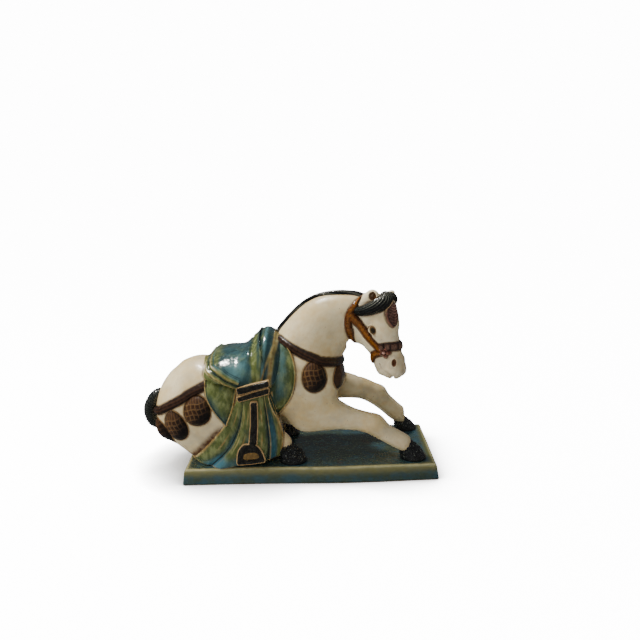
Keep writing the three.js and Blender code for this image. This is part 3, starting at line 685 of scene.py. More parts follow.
flapShape = {
    "thick": 3, "puff": 1.8, "sunk": 3, "columns": 52, "rows": 84,
    "rear": {"back": [(-95, 95), (-97.5, 84), (-96, 70), (-89, 57), (-78.5, 43)],
             "front": [(-93, 96), (-82, 88), (-68, 80), (-69, 63), (-76, 43)]},
    "fore": {"back": [(-29, 119), (-33.5, 98), (-37.5, 77), (-36, 63), (-30.5, 48.5)],
             "front": [(-25, 119), (-15, 106), (-11, 89), (-14.5, 69), (-27.5, 48.5)]},
}


def makeFlap(surface, name, side):
    shape = flapShape
    u, v = np.linspace(0, 1, shape["columns"])[None, :, None], np.linspace(0, 1, shape["rows"])
    edges = [curveThrough([(x, 0, z) for x, z in shape[name][edge]], v) for edge in ("back", "front")]
    aims = edges[0][:, None] * (1 - u) + edges[1][:, None] * u
    depth = eased(surface.seen(aims, (0, side, 0))[..., 1] * side, 6, (0, 1))
    x, z = aims[..., 0], aims[..., 2]
    outline = np.concatenate(edges)[:, [0, 2]]
    inset = np.min(np.linalg.norm(aims[:, :, None][..., [0, 2]] - outline, axis=-1), axis=2)
    rise = (shape["thick"] * np.sqrt(1 - (1 - clamped(inset / 1.3)) ** 2) - 0.7 * bump(inset, 2.3, 0.7)
            + shape["puff"] * blendStep(inset, 2, 9))
    front = np.stack([x, (depth + rise) * side, z], -1)
    under = [-1, shape["columns"] // 2, 0]
    back = front[:, under]
    back[..., 1] = (depth[:, under] - shape["sunk"]) * side
    if name == "rear":
        olive, pale = blendStep(x + 0.9 * (z - 66), -100, -78), 0 * x
    else:
        olive = 0.3 + 0.6 * blendStep(x + 0.12 * np.abs(z - 85), -20, -13) + bump(x, -24, 5) * bump(z, 58, 7)
        # a painted highlight streak down the fore flap
        pale = 0.6 * bump(x, -25, 4) * bump(z, 92, 22)
    paint = {"line": 1 - blendStep(inset, 0.8, 1.5), "deep": 0.5 * bump(inset, 2.1, 0.5),
             "olive": clamped(olive), "pale": pale}
    columns = [*range(shape["columns"]), *under]
    rings = np.concatenate([front, back], 1)
    return loft(rings, **{key: values[:, columns] for key, values in paint.items()})


onBody = Surface(body)
print("cloth: skirts")
skirts = [makeSkirt(side) for side in sides]
underCloth = Surface(body, head, *skirts)
flaps = [makeFlap(underCloth, name, side) for side in sides for name in ("rear", "fore")]

# Saddle: a seat drawn up over a pommel and a cantle

seatShape = {
    "stations": [(-102, 0, 88, 27, 5, 6), (-96, 0, 87, 38.5, 11.5, 6), (-90, 0, 85.5, 44, 19.5, 6),
                 (-83, 0, 84, 46.5, 25.5, 6), (-73, 0, 82.5, 47.7, 28.5, 6), (-62, 0, 80.5, 47.7, 30, 10),
                 (-54, 0, 80, 47.2, 34, 12), (-46, 0, 80, 46, 41.5, 14), (-37, 0, 81, 43.5, 43, 12),
                 (-30, 0, 84, 39.5, 38, 8), (-23, 0, 84, 30, 30, 8)],
    # the top line that it is drawn up or down to
    "crown": ((-99, -95, -90, -85, -80, -75, -70, -66, -62, -58, -54, -50.5, -47, -43, -39, -34, -30, -26),
              (97.5, 101.2, 103.4, 105, 106.4, 107, 107, 107.1, 108.4, 111.2, 115, 118.8, 122, 124.8, 125.3,
               123.2, 121, 119)),
    # folds that fan up from the belt over the pommel: heights, places along, half width, rise
    "folds": [((84, 98, 111, 130), (-47, -50, -50.5, -50), 3.2, 0.3),
              ((84, 98, 113, 130), (-45, -43.5, -42.3, -41.5), 1.5, 1.0),
              ((84, 98, 113, 130), (-43, -41, -39.4, -38), 1.3, 0.9),
              ((84, 93, 100, 113, 130), (-43, -40, -37, -31.5, -29.5), 1.2, 1.1),
              ((84, 104, 113, 130), (-36, -33, -29.5, -26), 2.4, 1.6),
              ((84, 98, 113, 130), (-40, -38, -35.5, -34), 1.8, -0.9)],
}


def drawUp(f, places, heights):
    # the top line is brought to these heights, and the sides below it follow less and less
    x, _, z = f["points"].T
    spots = np.linspace(places[0], places[-1], 80)
    tops = np.array([z[np.abs(x - spot) < 1].max() for spot in spots])
    line = curveThrough(np.stack([places, heights], 1), np.linspace(0, 1, 400))
    drawn = eased(np.interp(spots, *line.T) - tops, 6)
    f["points"][:, 2] += np.interp(x, spots, drawn) * blendStep(z, 84, 105)


def makeSeat():
    shape = seatShape
    f = limb(shape["stations"], 220, 230, square=2.1, blunt=(0.08, 0.05))
    drawUp(f, *shape["crown"])
    smoothed(f, 40)
    x, _, z = f["points"].T
    fold = [bump(x, np.interp(z, heights, places), half) for heights, places, half, _ in shape["folds"]]
    fade = blendStep(z, 78, 92)
    rise = sum(part * row[3] for part, row in zip(fold, shape["folds"])) * (0.4 + 0.6 * fade)
    rise = rise * (1 - 0.9 * blendStep(z, 108, 118))
    f["points"] = f["points"] + normals(f) * rise[:, None]
    drawUp(f, *shape["crown"])
    smoothed(f, 16)
    gold = bump(x, np.interp(z, *shape["folds"][4][:2]), 1.9) * (1 - 0.45 * blendStep(z, 100, 108))
    streak = bump(x, np.interp(z, *shape["folds"][3][:2]), 0.9)
    behind = blendStep(-x, 77, 90)
    return coated(
        f, line=clamped(0.75 * gold + 0.55 * streak),
        deep=0.45 * bump(x, np.interp(z, (84, 130), (-36.5, -27.8)), 0.7) + 0.25 * fold[5],
        olive=clamped(fold[0] + 0.5 * streak + 0.8 * behind + gold + 0.35 * fold[1]),
        # a paler blue patch on the seat, and a painted highlight along the third fold's crest
        pale=clamped(0.5 * bump(x, -66, 10) * bump(z, 95, 10) + 0.5 * fold[2] * fade))


seat = makeSeat()
clothed = Surface(body, head, *skirts, *flaps, seat)
print("cloth: saddle")

rollShape = {
    "line": [(-64, 0, 81.5, 90), (-73, 0, 85.6, 90), (-83, 0, 89, 90, 3), (-91, 0, 86, 90, 15),
             (-94, 0, 84, 90, 45), (-95, 0, 84, 90, 90)],
    "width": 13, "thick": 2.8,
}


def rollProfile(a, run):
    crests = np.maximum(bump(a, 0.48, 0.36), 0.9 * bump(a, -0.3, 0.34))
    crests = crests * (0.12 + 0.88 * blendStep(np.abs(run - run.max() / 2), 12, 34))
    wave = 1 + 0.05 * np.sin(run / 6 + 2 * a)
    return rollShape["thick"] * crests * wave * (1 - a**12) - 0.5 * bump(a, -0.82, 0.1) + 0.1


def makeRolls():
    f = band(clothed, acrossHorse(rollShape["line"]), rollShape["width"], rollProfile, count=280, across=41)
    a, run = painted(f, "across", "along")
    fromMiddle = np.abs(run - run.max() / 2)
    return coated(
        f, line=clamped(0.5 * bump(a, 0.52, 0.13) + 0.45 * bump(a, 0.96, 0.08) + 0.35 * bump(a, -0.3, 0.12)),
        deep=clamped(0.6 * bump(a, -0.8, 0.06) + bump(a, 0.1, 0.06)) * blendStep(fromMiddle, 16, 34),
        # pale is a painted highlight beside the inner crest
        olive=clamped(0.9 * bump(a, 0.6, 0.45) + 0.8 * bump(a, -0.35, 0.3)), pale=0.4 * bump(a, -0.6, 0.2))


rolls = makeRolls()

# Girth: belt bars, a stirrup leather and a stirrup on each side

girthShape = {
    "bars": [[(-65.6, 78.8), (-50, 82.6), (-35.8, 85.3), (-35.8, 80.3), (-50, 77), (-63.9, 73.2)],
             [(-65.2, 70.2), (-50, 75), (-35.9, 78.2), (-36.3, 73.4), (-50, 70.4), (-64.1, 66.4)]],
    "barFace": 51.6, "barRim": 0.9,
    "leather": [(-52.6, 66), (-47.2, 66), (-47.8, 44), (-49.6, 24), (-56.2, 24), (-53.6, 44)],
    "leatherFace": 52.2, "leatherRim": 1.1,
    "bell": [(-0.34, 1), (-0.52, 0.92), (-0.74, 0.74), (-0.9, 0.45), (-1, 0.08), (-0.97, -0.02), (0, -0.05),
             (0.97, -0.02), (1, 0.08), (0.9, 0.45), (0.74, 0.74), (0.52, 0.92), (0.34, 1)],
    "bellAt": (-55.4, 6.2), "bellHalf": 13, "bellTall": 18.5, "bellTilt": 5, "bellFace": 52.6, "bellRim": 1.0,
    "blobAt": (1.0, 7.2), "blobHalf": (7.9, 3.7), "blobTaper": 0.28,    # the raised blob on the stirrup
}


def roundedLoop(corners, count=150, rounds=3):
    loop = np.array(list(corners) + [corners[0]], float)
    run = np.concatenate([[0], np.cumsum(np.linalg.norm(np.diff(loop, axis=0), axis=1))])
    spots = np.linspace(0, run[-1], count, endpoint=False)
    edge = np.stack([np.interp(spots, run, loop[:, 0]), np.interp(spots, run, loop[:, 1])], 1)
    return easedRound(edge, rounds)


def plate(corners, rim, side, face, relief, rings=26, thick=8.0):
    # a plate seen from the side, with a rim outside its corners. face and relief give how far out it lies
    edge = roundedLoop(corners)
    middle = edge.mean(0)
    outward = unit(np.roll(edge, -1, 0) - np.roll(edge, 1, 0)) @ np.array([[0, -1], [1, 0]])
    if np.einsum("ij,ij->i", outward, edge - middle).sum() < 0:
        outward = -outward
    edge = edge + outward * rim
    share = (np.arange(1, rings + 1) / rings)[:, None, None] ** 0.8
    flat = middle + (edge - middle) * share
    inset = np.linalg.norm(flat[:, :, None] - edge, axis=-1).min(2)
    x, z = flat[..., 0], flat[..., 1]
    wall = np.sqrt(1 - (1 - clamped(inset / 0.7)) ** 2) - 1
    front = np.stack([x, face(x, z) + wall * 0.8 + relief(x, z, inset), z], -1)
    back = front[[-1, -1]].copy()
    back[0, :, 1] -= thick / 2
    back[1] = back[1] * 0.2 + back[1].mean(0) * 0.8
    back[1, :, 1] -= thick
    rows = np.concatenate([np.arange(rings), [rings - 1] * 2])
    return loft(np.concatenate([front, back]) * (1, side, 1), x=x[rows], z=z[rows], inset=inset[rows])


def raised(rim, height):
    return lambda x, z, inset: height * blendStep(inset, rim - 0.1, rim + 0.5) - 0.25 * bump(inset, rim, 0.25)


def rimmedPlate(corners, rim, side, face, height, thick=8.0):
    f = plate(corners, rim, side, face, raised(rim, height), thick=thick)
    return coated(f, line=1 - blendStep(f["paint"]["inset"], rim - 0.2, rim))


def makeBars(side):
    shape = girthShape

    def bowed(x, z):
        return shape["barFace"] - 1.3 - ((x + 52) / 15) ** 2

    return [rimmedPlate(corners, shape["barRim"], side, bowed, 1.3) for corners in shape["bars"]]


def makeLeather(side):
    shape = girthShape

    def flat(x, z):
        return shape["leatherFace"] - 1.0 + 0 * x

    return rimmedPlate(shape["leather"], shape["leatherRim"], side, flat, 1.0, thick=6)


def makeBell(side):
    shape = girthShape
    tilt = math.radians(shape["bellTilt"])
    (x0, z0), half, tall = shape["bellAt"], shape["bellHalf"], shape["bellTall"]
    corners = [(x0 + p * half * math.cos(tilt) - q * tall * math.sin(tilt),
                z0 + q * tall * math.cos(tilt) + p * half * math.sin(tilt)) for p, q in shape["bell"]]

    def blob(x, z):
        p = (x - x0) * math.cos(tilt) + (z - z0) * math.sin(tilt)
        q = (z - z0) * math.cos(tilt) - (x - x0) * math.sin(tilt)
        (p0, q0), (wide, high) = shape["blobAt"], shape["blobHalf"]
        wide = wide - shape["blobTaper"] * (q - q0)
        return (np.abs((p - p0) / wide) ** 3 + np.abs((q - q0) / high) ** 3) ** (1 / 3)

    def relief(x, z, inset):
        at = blob(x, z)
        return (raised(shape["bellRim"], 1.2)(x, z, inset) - 0.9 * bump(at, 1.08, 0.16)
                + 0.5 * (1 - blendStep(at, 0.6, 1)) + 0.15 * np.sin(x * 1.3) * np.cos(z))

    f = plate(corners, shape["bellRim"], side, lambda x, z: shape["bellFace"] - 1.2 + 0 * x, relief, rings=34)
    x, z, inset = painted(f, "x", "z", "inset")
    gold = 1 - blendStep(blob(x, z), 0.82, 1.0)
    rim = 1 - blendStep(inset, shape["bellRim"] - 0.15, shape["bellRim"] + 0.2)
    return coated(f, line=rim, pale=gold)


bars = [bar for side in sides for bar in makeBars(side)]
leathers = [makeLeather(side) for side in sides]
bells = [makeBell(side) for side in sides]
print("girth: bars, leathers and stirrups")

# Harness on the body: a breast strap and a crupper strap, with plaques hung under them

harnessShape = {
    "breast": [(-27, 0, 116, 90), (-7, 0, 106, 90), (10, 0, 98.6, 90), (14, 0, 94.5, 65), (16, 0, 91.5, 35),
               (16, 0, 90, 0)],
    "crupper": [(-95, 0, 79, 90), (-116, 0, 68.4, 90), (-130, 0, 54, 108), (-132, 0, 47, 145),
                (-132, 0, 43.5, 180)],
    "width": 7.8, "thick": 2.6,
    # each plaque's sight, then its half width and height, its tilt, and how strongly it is ribbed
    "plaques": [((17.5, 0, 79.5, 52), (14, 13.5, -12, 0.1)), ((6, 0, 84.6, 90), (11.5, 15, 5, 1)),
                ((-104, 0, 57, 90), (13, 14.5, 10, 1)), ((-120, 0, 41, 98), (12.3, 15.5, 18, 1)),
                ((-100, 0, 32, 145), (10, 13.5, 20, 0.6))],
    "rise": 4.6,
}


def segments(a, run):
    part = (run / 5.4 + 0.12 * a + 0.05 * np.sin(run / 3)) % 1
    return bumps(part, (0, 0.09), (1, 0.09))


def strapProfileOnBody(a, run):
    lumps = 0.04 * np.sin(run * 1.1) * np.cos(2.2 * a) + 0.05 * np.cos(9 * a + 0.1 * run)
    return harnessShape["thick"] * (1 - np.abs(a) ** 2.6) ** 0.65 * (1 + lumps - 0.07 * segments(a, run))


def coatStrap(f):
    a, run = painted(f, "across", "along")
    streak = 0.5 + 0.5 * np.cos(9 * a + 0.1 * run)
    return coated(f, pale=0.3 * streak * (1 - a**4),
                  deep=clamped(blendStep(np.abs(a), 0.7, 1) + 0.25 * segments(a, run)))


def plaque(surface, look, size, tilt, ribbed):
    wide, tall = size

    def egg(angle):
        c, s = np.cos(angle), np.sin(angle)
        return wide * c * (1 - 0.13 * s) * (1 - 0.1 * blendStep(s, 0.6, 1)), tall * s

    def relief(p, q, share):
        inner = clamped(share / 0.93)
        dome = harnessShape["rise"] * (1 - inner**2.6) ** 0.6
        ring = 0.5 * np.sqrt(clamped(1 - ((share - 0.975) / 0.025) ** 2))
        return dome * 0.95 + 0.45 * ribs(p, q) * (inner < 0.95) + ring + 0.2

    def ribs(p, q):
        # a basket of ribs, worn away at the foot, under a ribbed collar
        upright = bump(((p + 0.1 * q + 0.4 * np.sin(q / 2.3)) / 4.1 + 0.28) % 1, 0.5, 0.11)
        level = bump((q / 4.6 + 0.12 * np.sin(p / 2.2)) % 1, 0.5, 0.09)
        collar = blendStep(q, 0.5 * tall, 0.56 * tall)
        fine = 0.5 * bump((p / 2.6) % 1, 0.5, 0.2)
        low = 1 - blendStep(-q + 0.4 * p, 0.3 * tall, 0.6 * tall)
        return clamped(np.maximum(upright, level) * (1 - collar) + fine * collar) * low * ribbed

    f = patch(surface, look, egg, relief, rings=52, around=124, tilt=tilt, reach=16)
    p, q, share = painted(f, "p", "q", "share")
    rib = ribs(p, q) * (share < 0.92)
    # paler towards the upper left and darker towards the lower right
    paler = blendStep(0.5 * q / tall - 0.6 * p / wide, -0.6, 0.3)
    return coated(f, line=0.75 * blendStep(share, 0.965, 0.98) + 0.5 * rib * (0.15 + 0.85 * paler),
                  deep=clamped(bump(share, 0.945, 0.02) + 0.55 * (1 - paler) * (1 - rib)),
                  pale=0.35 * paler * (1 - rib) * (share < 0.93))


harness = [coatStrap(band(onBody, acrossHorse(harnessShape[name]), harnessShape["width"], strapProfileOnBody,
                          count=420, across=17)) for name in ("breast", "crupper")]
plaques = [plaque(onBody, sights([spot], side), (wide, tall), tilt * side, ribbed)
           for spot, (wide, tall, tilt, ribbed) in harnessShape["plaques"] for side in sides]
print("harness: straps and plaques")

# Head: mane, forelock, leaf on the brow, bridle, eyes

headgear = {
    "mane": [(-14, 0, 100, 180, 34), (-5, 0, 107, 180, 42), (10, 0, 118, 180, 62), (22, -1, 128, 180, 70),
             (32, 3, 134, 180, 80), (46, 6, 137, 180, 88), (58, 9, 140, 180, 88)],
    "maneWidth": 7, "maneThick": 3,
    "forelock": [(15, 0, 156.5, 4.5, 4.5, 4.5), (20.5, -7, 154, 6, 7.2, 6.6), (16.5, -13, 149.2, 6, 6.6, 6.6),
                 (7, -16.5, 144.6, 4.8, 5.2, 5.6), (-1, -17, 142.6, 3.8, 4, 4.4),
                 (-8, -16.5, 142.8, 2.2, 2.4, 2.6)],
    # the lock on the off side is smaller, lower and nearer the middle
    "strands": 17, "offLock": {"size": 0.8, "lower": 6, "spread": 0.94},
    "leaf": {"at": (6, -2.5, 141, -8), "wide": 6.6, "tall": 13, "tilt": 9},
    "noseband": [(18, 0, 108.6, 90), (19, 0, 109.6, 55), (19, 0, 109.4, 0)],
    "cheekStrap": [(-10.5, 0, 141, 90), (-2.5, 0, 130.5, 90), (8, 0, 116.5, 90), (19, 0, 105, 90)],
    "chinStrap": [(19, 0, 104, 90), (12, 0, 100.5, 98), (8, 0, 95, 112, -15)],
    "throat": [(-1, 0, 154, 95, 20), (-7.5, 0, 146, 90), (-10.5, 0, 138, 90), (-11.3, 0, 130, 90),
               (-11.8, 0, 122, 90, -8), (-13, 0, 117, 90, -45)],
    "strapWidth": {"throat": 5.8, "cheekStrap": 8.2, "chinStrap": 7, "noseband": 8.2}, "strapThick": 1.8,
    "rosette": {"at": (21.3, 0, 104.4, 88), "size": 5.2},
    "eye": {"at": (7.6, 0, 125.4, 76), "wide": 2.9, "tall": 4.0, "tilt": 18},
}


def strapProfile(thick, rib=0.0):
    def profile(a, run):
        return thick * (1 - np.abs(a) ** 2.6) ** 0.6 * (1 + rib * np.cos(2 * np.pi * run / 3.1 + 2 * a))

    return profile


onHead = Surface(body, head)


def combing(a, run):
    return np.cos(15 * a + 0.2 * run)


def makeMane():
    thick = headgear["maneThick"]
    f = band(onHead, sights(headgear["mane"], -1), headgear["maneWidth"],
             lambda a, run: thick * (1 - a**4) ** 0.5 * (1 + 0.09 * combing(a, run)),
             count=150, across=33, taper=lambda t: 0.4 + 0.75 * blendStep(t, 0.15, 0.75))
    strand = combing(*painted(f, "across", "along"))
    return coated(f, pale=0.35 * blendStep(strand, 0, 1), deep=0.7 * blendStep(-strand, 0, 1))


def makeLock(side):
    off = headgear["offLock"]
    less, spread = (off["size"], off["spread"]) if side > 0 else (1, 1)
    stations = [(x, -side * y * spread, z - (1 - less) * off["lower"], *(np.array(half) * less))
                for x, y, z, *half in headgear["forelock"]]
    around = 144
    f = limb(stations, around, 150, blunt=(0.1, 0.1))
    turn = np.append(np.tile(turns(around), len(f["points"]) // around), [0, 0])
    strand = np.cos(headgear["strands"] * turn - 6 * f["paint"]["along"] * side)
    facing = normals(f)
    f["points"] = f["points"] + facing * (0.2 * strand)[:, None]
    root = 1 - blendStep(f["paint"]["along"], 0.3, 0.8)
    # lit is how far a point faces up: it paints highlights on the upward strands and paints shade where the
    # lock faces down
    lit = blendStep(facing[:, 2], -0.1, 0.5)
    return moved(coated(f, pale=blendStep(strand, 0.3, 1) * (0.12 + 0.6 * root) * (0.15 + 0.85 * lit),
                        deep=clamped(0.7 * blendStep(-strand, 0.3, 1) + 0.6 * (1 - lit))), turned)


mane = makeMane()
locks = [makeLock(side) for side in sides]
underHarness = Surface(body, head, *locks)


def makeLeaf():
    shape = headgear["leaf"]

    def pointed(angle):
        c, s = np.cos(angle), np.sin(angle)
        return shape["wide"] * c * np.abs(c) ** 0.25, shape["tall"] * s

    def barbs(p, q):
        return np.cos(2 * np.pi * (q - 0.5 * np.abs(p)) / 2.6)

    def relief(p, q, share):
        ribs = 0.42 * barbs(p, q)
        vein = 0.5 * bump(p, 0, 0.5)
        rim = np.sqrt(1 - (1 - clamped((1 - share) / 0.09)) ** 2)
        return 2.0 * rim * (1 - 0.25 * share**2) + (ribs - vein) * (share < 0.86)

    f = patch(underHarness, sights([shape["at"]], 1, True), pointed, relief, rings=34, around=110,
              tilt=shape["tilt"])
    p, q, share = painted(f, "p", "q", "share")
    groove = blendStep(barbs(p, q), -0.2, 0.9)
    return coated(f, line=blendStep(share, 0.955, 0.98) * (0.2 + 0.8 * blendStep(q, -2, 5)),
                  pale=(0.35 + 0.45 * blendStep(q + p, -4, 6)) * groove * (share < 0.86),
                  deep=0.7 * bump(share, 0.87, 0.04) + 0.6 * blendStep(-p - 0.3 * q, 0, 3) * (share < 0.86))


def makeRosette(side):
    shape = headgear["rosette"]

    def petal(angle):
        return np.cos(5 * angle + 0.6)

    def lobed(angle):
        r = shape["size"] * (1 + 0.12 * petal(angle))
        return r * np.cos(angle), r * np.sin(angle)

    def relief(p, q, share):
        petals = 0.7 * petal(np.arctan2(q, p)) * bump(share, 0.7, 0.3)
        return 3.4 * (1 - share**2.4) ** 0.6 * (1 - 0.3 * bump(share, 0.42, 0.09)) + petals

    f = patch(underHarness, sights([shape["at"]], side, True), lobed, relief, rings=22, around=72)
    p, q, share = painted(f, "p", "q", "share")
    gap = blendStep(-petal(np.arctan2(q, p)), 0.3, 0.9) * bump(share, 0.8, 0.3)
    # a light pink knob with a painted highlight at the centre
    return coated(f, pale=0.9 * (1 - blendStep(share, 0.15, 0.36)) + 0.12 * bump(share, 0.7, 0.15),
                  deep=clamped(bump(share, 0.42, 0.07) + 0.8 * gap))


def makeEye(side):
    shape = headgear["eye"]

    def almond(angle):
        c, s = np.cos(angle), np.sin(angle)
        return shape["wide"] * c * (1 - 0.25 * np.abs(s) ** 3), shape["tall"] * s

    def relief(p, q, share):
        return 0.5 * (1 - share**2.2) ** 0.5 + 0.1

    f = patch(onHead, sights([shape["at"]], side, True), almond, relief, rings=20, around=64,
              tilt=shape["tilt"] * side, sunk=1)
    p, q, share = painted(f, "p", "q", "share")
    iris = 1 - blendStep(np.hypot((p - 0.3) / 2.6, (q + 0.2) / 3.4), 0.6, 1)
    glint = bump(p, -1.2, 0.9) * bump(q, -1.2, 1)
    return coated(f, line=blendStep(share, 0.84, 0.96), deep=iris * (1 - 0.4 * glint), pale=0.3 * (1 - iris))


def aroundThroat(count=240):
    near, off = (sights(headgear["throat"], side, True) for side in sides)
    top = sights([(-3, 0, 150, 90, 90)], 1, True)
    loops = [np.concatenate([t, n, o[::-1]]) for t, n, o in zip(top, near, off)]
    stations = len(loops[0])
    places = (2 + np.arange(count) / count * stations) / (stations + 4)
    rounds = [curveThrough(np.concatenate([loop[-2:], loop, loop[:3]]), places) for loop in loops]
    return rounds[0], unit(rounds[1])


leaf = makeLeaf()
rosettes = [makeRosette(side) for side in sides]
eyes = [makeEye(side) for side in sides]


def makeBridle():
    profile, widths = strapProfile(headgear["strapThick"], 0.07), headgear["strapWidth"]
    bands = [band(onHead, aroundThroat(), widths["throat"], profile, wrap=True, reach=28)]
    bands += [band(onHead, sights(headgear[name], side, True), widths[name], profile, count=110, reach=28)
              for side in sides for name in ("cheekStrap", "chinStrap")]
    return [coated(f, pale=0.4 * bump(f["paint"]["across"], 0.1, 0.4),
                   deep=0.85 * blendStep(np.abs(f["paint"]["across"]), 0.55, 0.95)) for f in bands]


def makeNoseband():
    f = band(onHead, acrossHorse(headgear["noseband"], True), headgear["strapWidth"]["noseband"],
             strapProfile(2.0, 0.05), count=160, across=17)
    a, run = painted(f, "across", "along")
    stitch = (run / 6.5) % 1
    return coated(f, pale=0.5 * bump(a, 0, 0.6) * (1 - bump(stitch, 0.5, 0.16)),
                  deep=blendStep(np.abs(a), 0.7, 1) + 0.6 * bump(stitch, 0.5, 0.1))


bridle, noseband = makeBridle(), makeNoseband()
print("head: mane, locks, leaf and bridle")


plinthShape = {
    "longer": 1.3, "wider": 0.7,            # how far the glazed slab stands out past the plain one
    "foot": 0.8, "batter": 1.6, "edge": 3, "corner": 2, "wave": 0.22,
    "bow": (0.7, 3.4, 40, 70),              # its front bows out: the least, how much more, and around where
    "columns": 120, "rows": 52,
}


def plinthRing(a, b, r, z):
    # one level of the slab: each corner's arc, and the straight side that follows it
    along, aside = (np.linspace(-1, 1, plinthShape[key])[1:-1] for key in ("columns", "rows"))
    ring = []
    for corner, (sx, sy) in enumerate(((1, 1), (-1, 1), (-1, -1), (1, -1))):
        angles = np.pi / 2 * (corner + np.linspace(0, 1, 10))
        ring.append(np.stack([sx * (a - r) + r * np.cos(angles), sy * (b - r) + r * np.sin(angles)], 1))
        if corner % 2:
            ring.append(np.stack([sx * a + 0 * aside, -sy * aside * (b - r)], 1))
        else:
            ring.append(np.stack([-sx * along * (a - r), sy * b + 0 * along], 1))
    ring = np.concatenate(ring)
    return np.column_stack([ring, np.full(len(ring), z)])


def makePlinth():
    shape = plinthShape
    long = (plinthHigh.x - plinthLow.x) / 2 / metre + shape["longer"]
    wide = (plinthHigh.y - plinthLow.y) / 2 / metre + shape["wider"]
    tall = (plinthHigh.z - plinthLow.z) / metre
    foot, batter, edge = shape["foot"], shape["batter"], shape["edge"]
    profile = [(0.5, 0), (0.15, 0.25), (0, foot)]
    profile += [(batter * t, foot + (tall - edge - foot) * t) for t in np.linspace(0.12, 1, 14)]
    profile += [(batter + edge * (1 - math.cos(a)), tall - edge * (1 - math.sin(a)))
                for a in np.linspace(0, np.pi / 2, 7)[1:]]
    profile += [(batter + edge + inset, tall) for inset in np.linspace(1.5, 38, 24)]
    rings = np.array([plinthRing(long - inset, wide - inset, max(shape["corner"] - 0.35 * inset, 0.8), z)
                      for inset, z in profile])
    x, y, z = np.moveaxis(rings, -1, 0)
    rings[..., 2] += shape["wave"] * np.sin(x / 17 + y / 23) * blendStep(z, 2, tall)
    inset = np.array([step for step, _ in profile])[:, None] + 0 * x
    reach = 0.6 + 6 * blendStep(x, 100, 112)
    # line paints a highlight along the rounded top edge
    f = loft(rings, olive=1 - blendStep(inset - batter - edge, 0, reach),
             line=bump(inset, batter + 0.55 * edge, 1.3))
    x, y, _ = f["points"].T
    least, more, at, half = shape["bow"]
    f["points"][:, 1] -= (least + more * bump(x, at, half)) * blendStep(-y, 20, 52)
    f["points"][:, 2] -= tall + (horseLow.z - plinthHigh.z) / metre
    return f


plinth = makePlinth()

# Glazes

def linear(colour):
    c = np.array(colour) / 255
    return (*np.where(c <= 0.04045, c / 12.92, ((c + 0.055) / 1.055) ** 2.4), 1.0)


class Value:
    # a socket of a shader, which can be reckoned with
    def __init__(self, tree, socket=None):
        self.tree, self.socket = tree, socket

    def made(self, kind, inputs, output=0, **settings):
        node = self.tree.nodes.new(kind)
        for name, setting in settings.items():
            setattr(node, name, setting)
        for name, value in inputs.items():
            if isinstance(value, Value):
                self.tree.links.new(value.socket, node.inputs[name])
            else:
                node.inputs[name].default_value = value
        return Value(self.tree, node.outputs[output])

    def maths(self, operation, *others):
        return self.made("ShaderNodeMath", dict(enumerate((self, *others))), operation=operation)

    def __add__(self, other):
        return self.maths("ADD", other)

    def __sub__(self, other):
        return self.maths("SUBTRACT", other)

    def __mul__(self, other):
        return self.maths("MULTIPLY", other)

    def __truediv__(self, other):
        return self.maths("DIVIDE", other)

    def __pow__(self, other):
        return self.maths("POWER", other)

    def __rsub__(self, other):
        return (self * -1) + other

    def __rtruediv__(self, other):
        return self ** -1 * other

    def __rpow__(self, other):
        return self.made("ShaderNodeMath", {0: other, 1: self}, operation="POWER")

    __radd__, __rmul__ = __add__, __mul__

    def clipped(self):
        return self.maths("MAXIMUM", 0.0).maths("MINIMUM", 1.0)

    def feed(self, socket):
        self.tree.links.new(self.socket, socket)

    def between(self, low, high):
        return self.made("ShaderNodeMapRange", {"Value": self, "From Min": low, "From Max": high},
                         interpolation_type="SMOOTHSTEP")

    def mix(self, one, two):
        # from one colour at 0 to another at 1
        return self.made("ShaderNodeMix", {0: self, 6: one, 7: two}, output=2, data_type="RGBA")


class Glaze:
    def __init__(self, name, look):
        self.look = {key: linear(colour) for key, colour in look.items()}
        self.material = bpy.data.materials.new(name)
        self.material.use_nodes = True
        tree = self.material.node_tree
        self.shader = tree.nodes["Principled BSDF"]
        self.start = Value(tree)
        self.place = self.start.made("ShaderNodeTexCoord", {}, output=3)

    def painted(self, name):
        return self.start.made("ShaderNodeAttribute", {}, output=2, attribute_name=name)

    def placed(self, size, shift=0.0, stretch=(1, 1, 1)):
        # size in millimetres
        return self.start.made("ShaderNodeMapping", {
            "Vector": self.place, "Location": (shift, shift * 0.7, shift * 1.3),
            "Scale": tuple(1000 / size / s for s in stretch)})

    def noise(self, size, detail=3.0, shift=0.0, rough=0.55, stretch=(1, 1, 1)):
        return self.start.made("ShaderNodeTexNoise", {
            "Vector": self.placed(size, shift, stretch), "Scale": 1.0, "Detail": detail, "Roughness": rough})

    def cells(self, size):
        return self.start.made("ShaderNodeTexVoronoi", {"Vector": self.placed(size), "Scale": 1.0})

    def finish(self, colour, rough, height, lumps, coat):
        colour.feed(self.shader.inputs["Base Color"])
        rough.feed(self.shader.inputs["Roughness"])
        self.shader.inputs["Coat Weight"].default_value = coat
        self.shader.inputs["Coat Roughness"].default_value = 0.06
        self.shader.inputs["Specular IOR Level"].default_value = 0.5
        relief = self.start.made("ShaderNodeBump", {"Height": height, "Distance": lumps, "Strength": 1.0})
        relief.feed(self.shader.inputs["Normal"])
        return self.material


creamLook = {
    "pale": (232, 216, 176), "warm": (218, 192, 138), "cool": (184, 172, 144), "stain": (88, 54, 24),
    "hollow": (108, 68, 42), "speck": (104, 78, 48),
}
# the head's cream is a lighter, warmer copy of the body's: painted light on the face
litFaceLook = {**creamLook, "pale": (250, 238, 204), "warm": (238, 216, 168), "cool": (206, 196, 168)}
clothLook = {
    "teal": (34, 62, 66), "light": (110, 158, 162), "ink": (22, 46, 56), "olive": (84, 94, 48),
    "moss": (124, 132, 84), "gold": (176, 142, 86), "straw": (206, 188, 130), "crease": (8, 24, 30),
    "blue": (64, 116, 136),
}
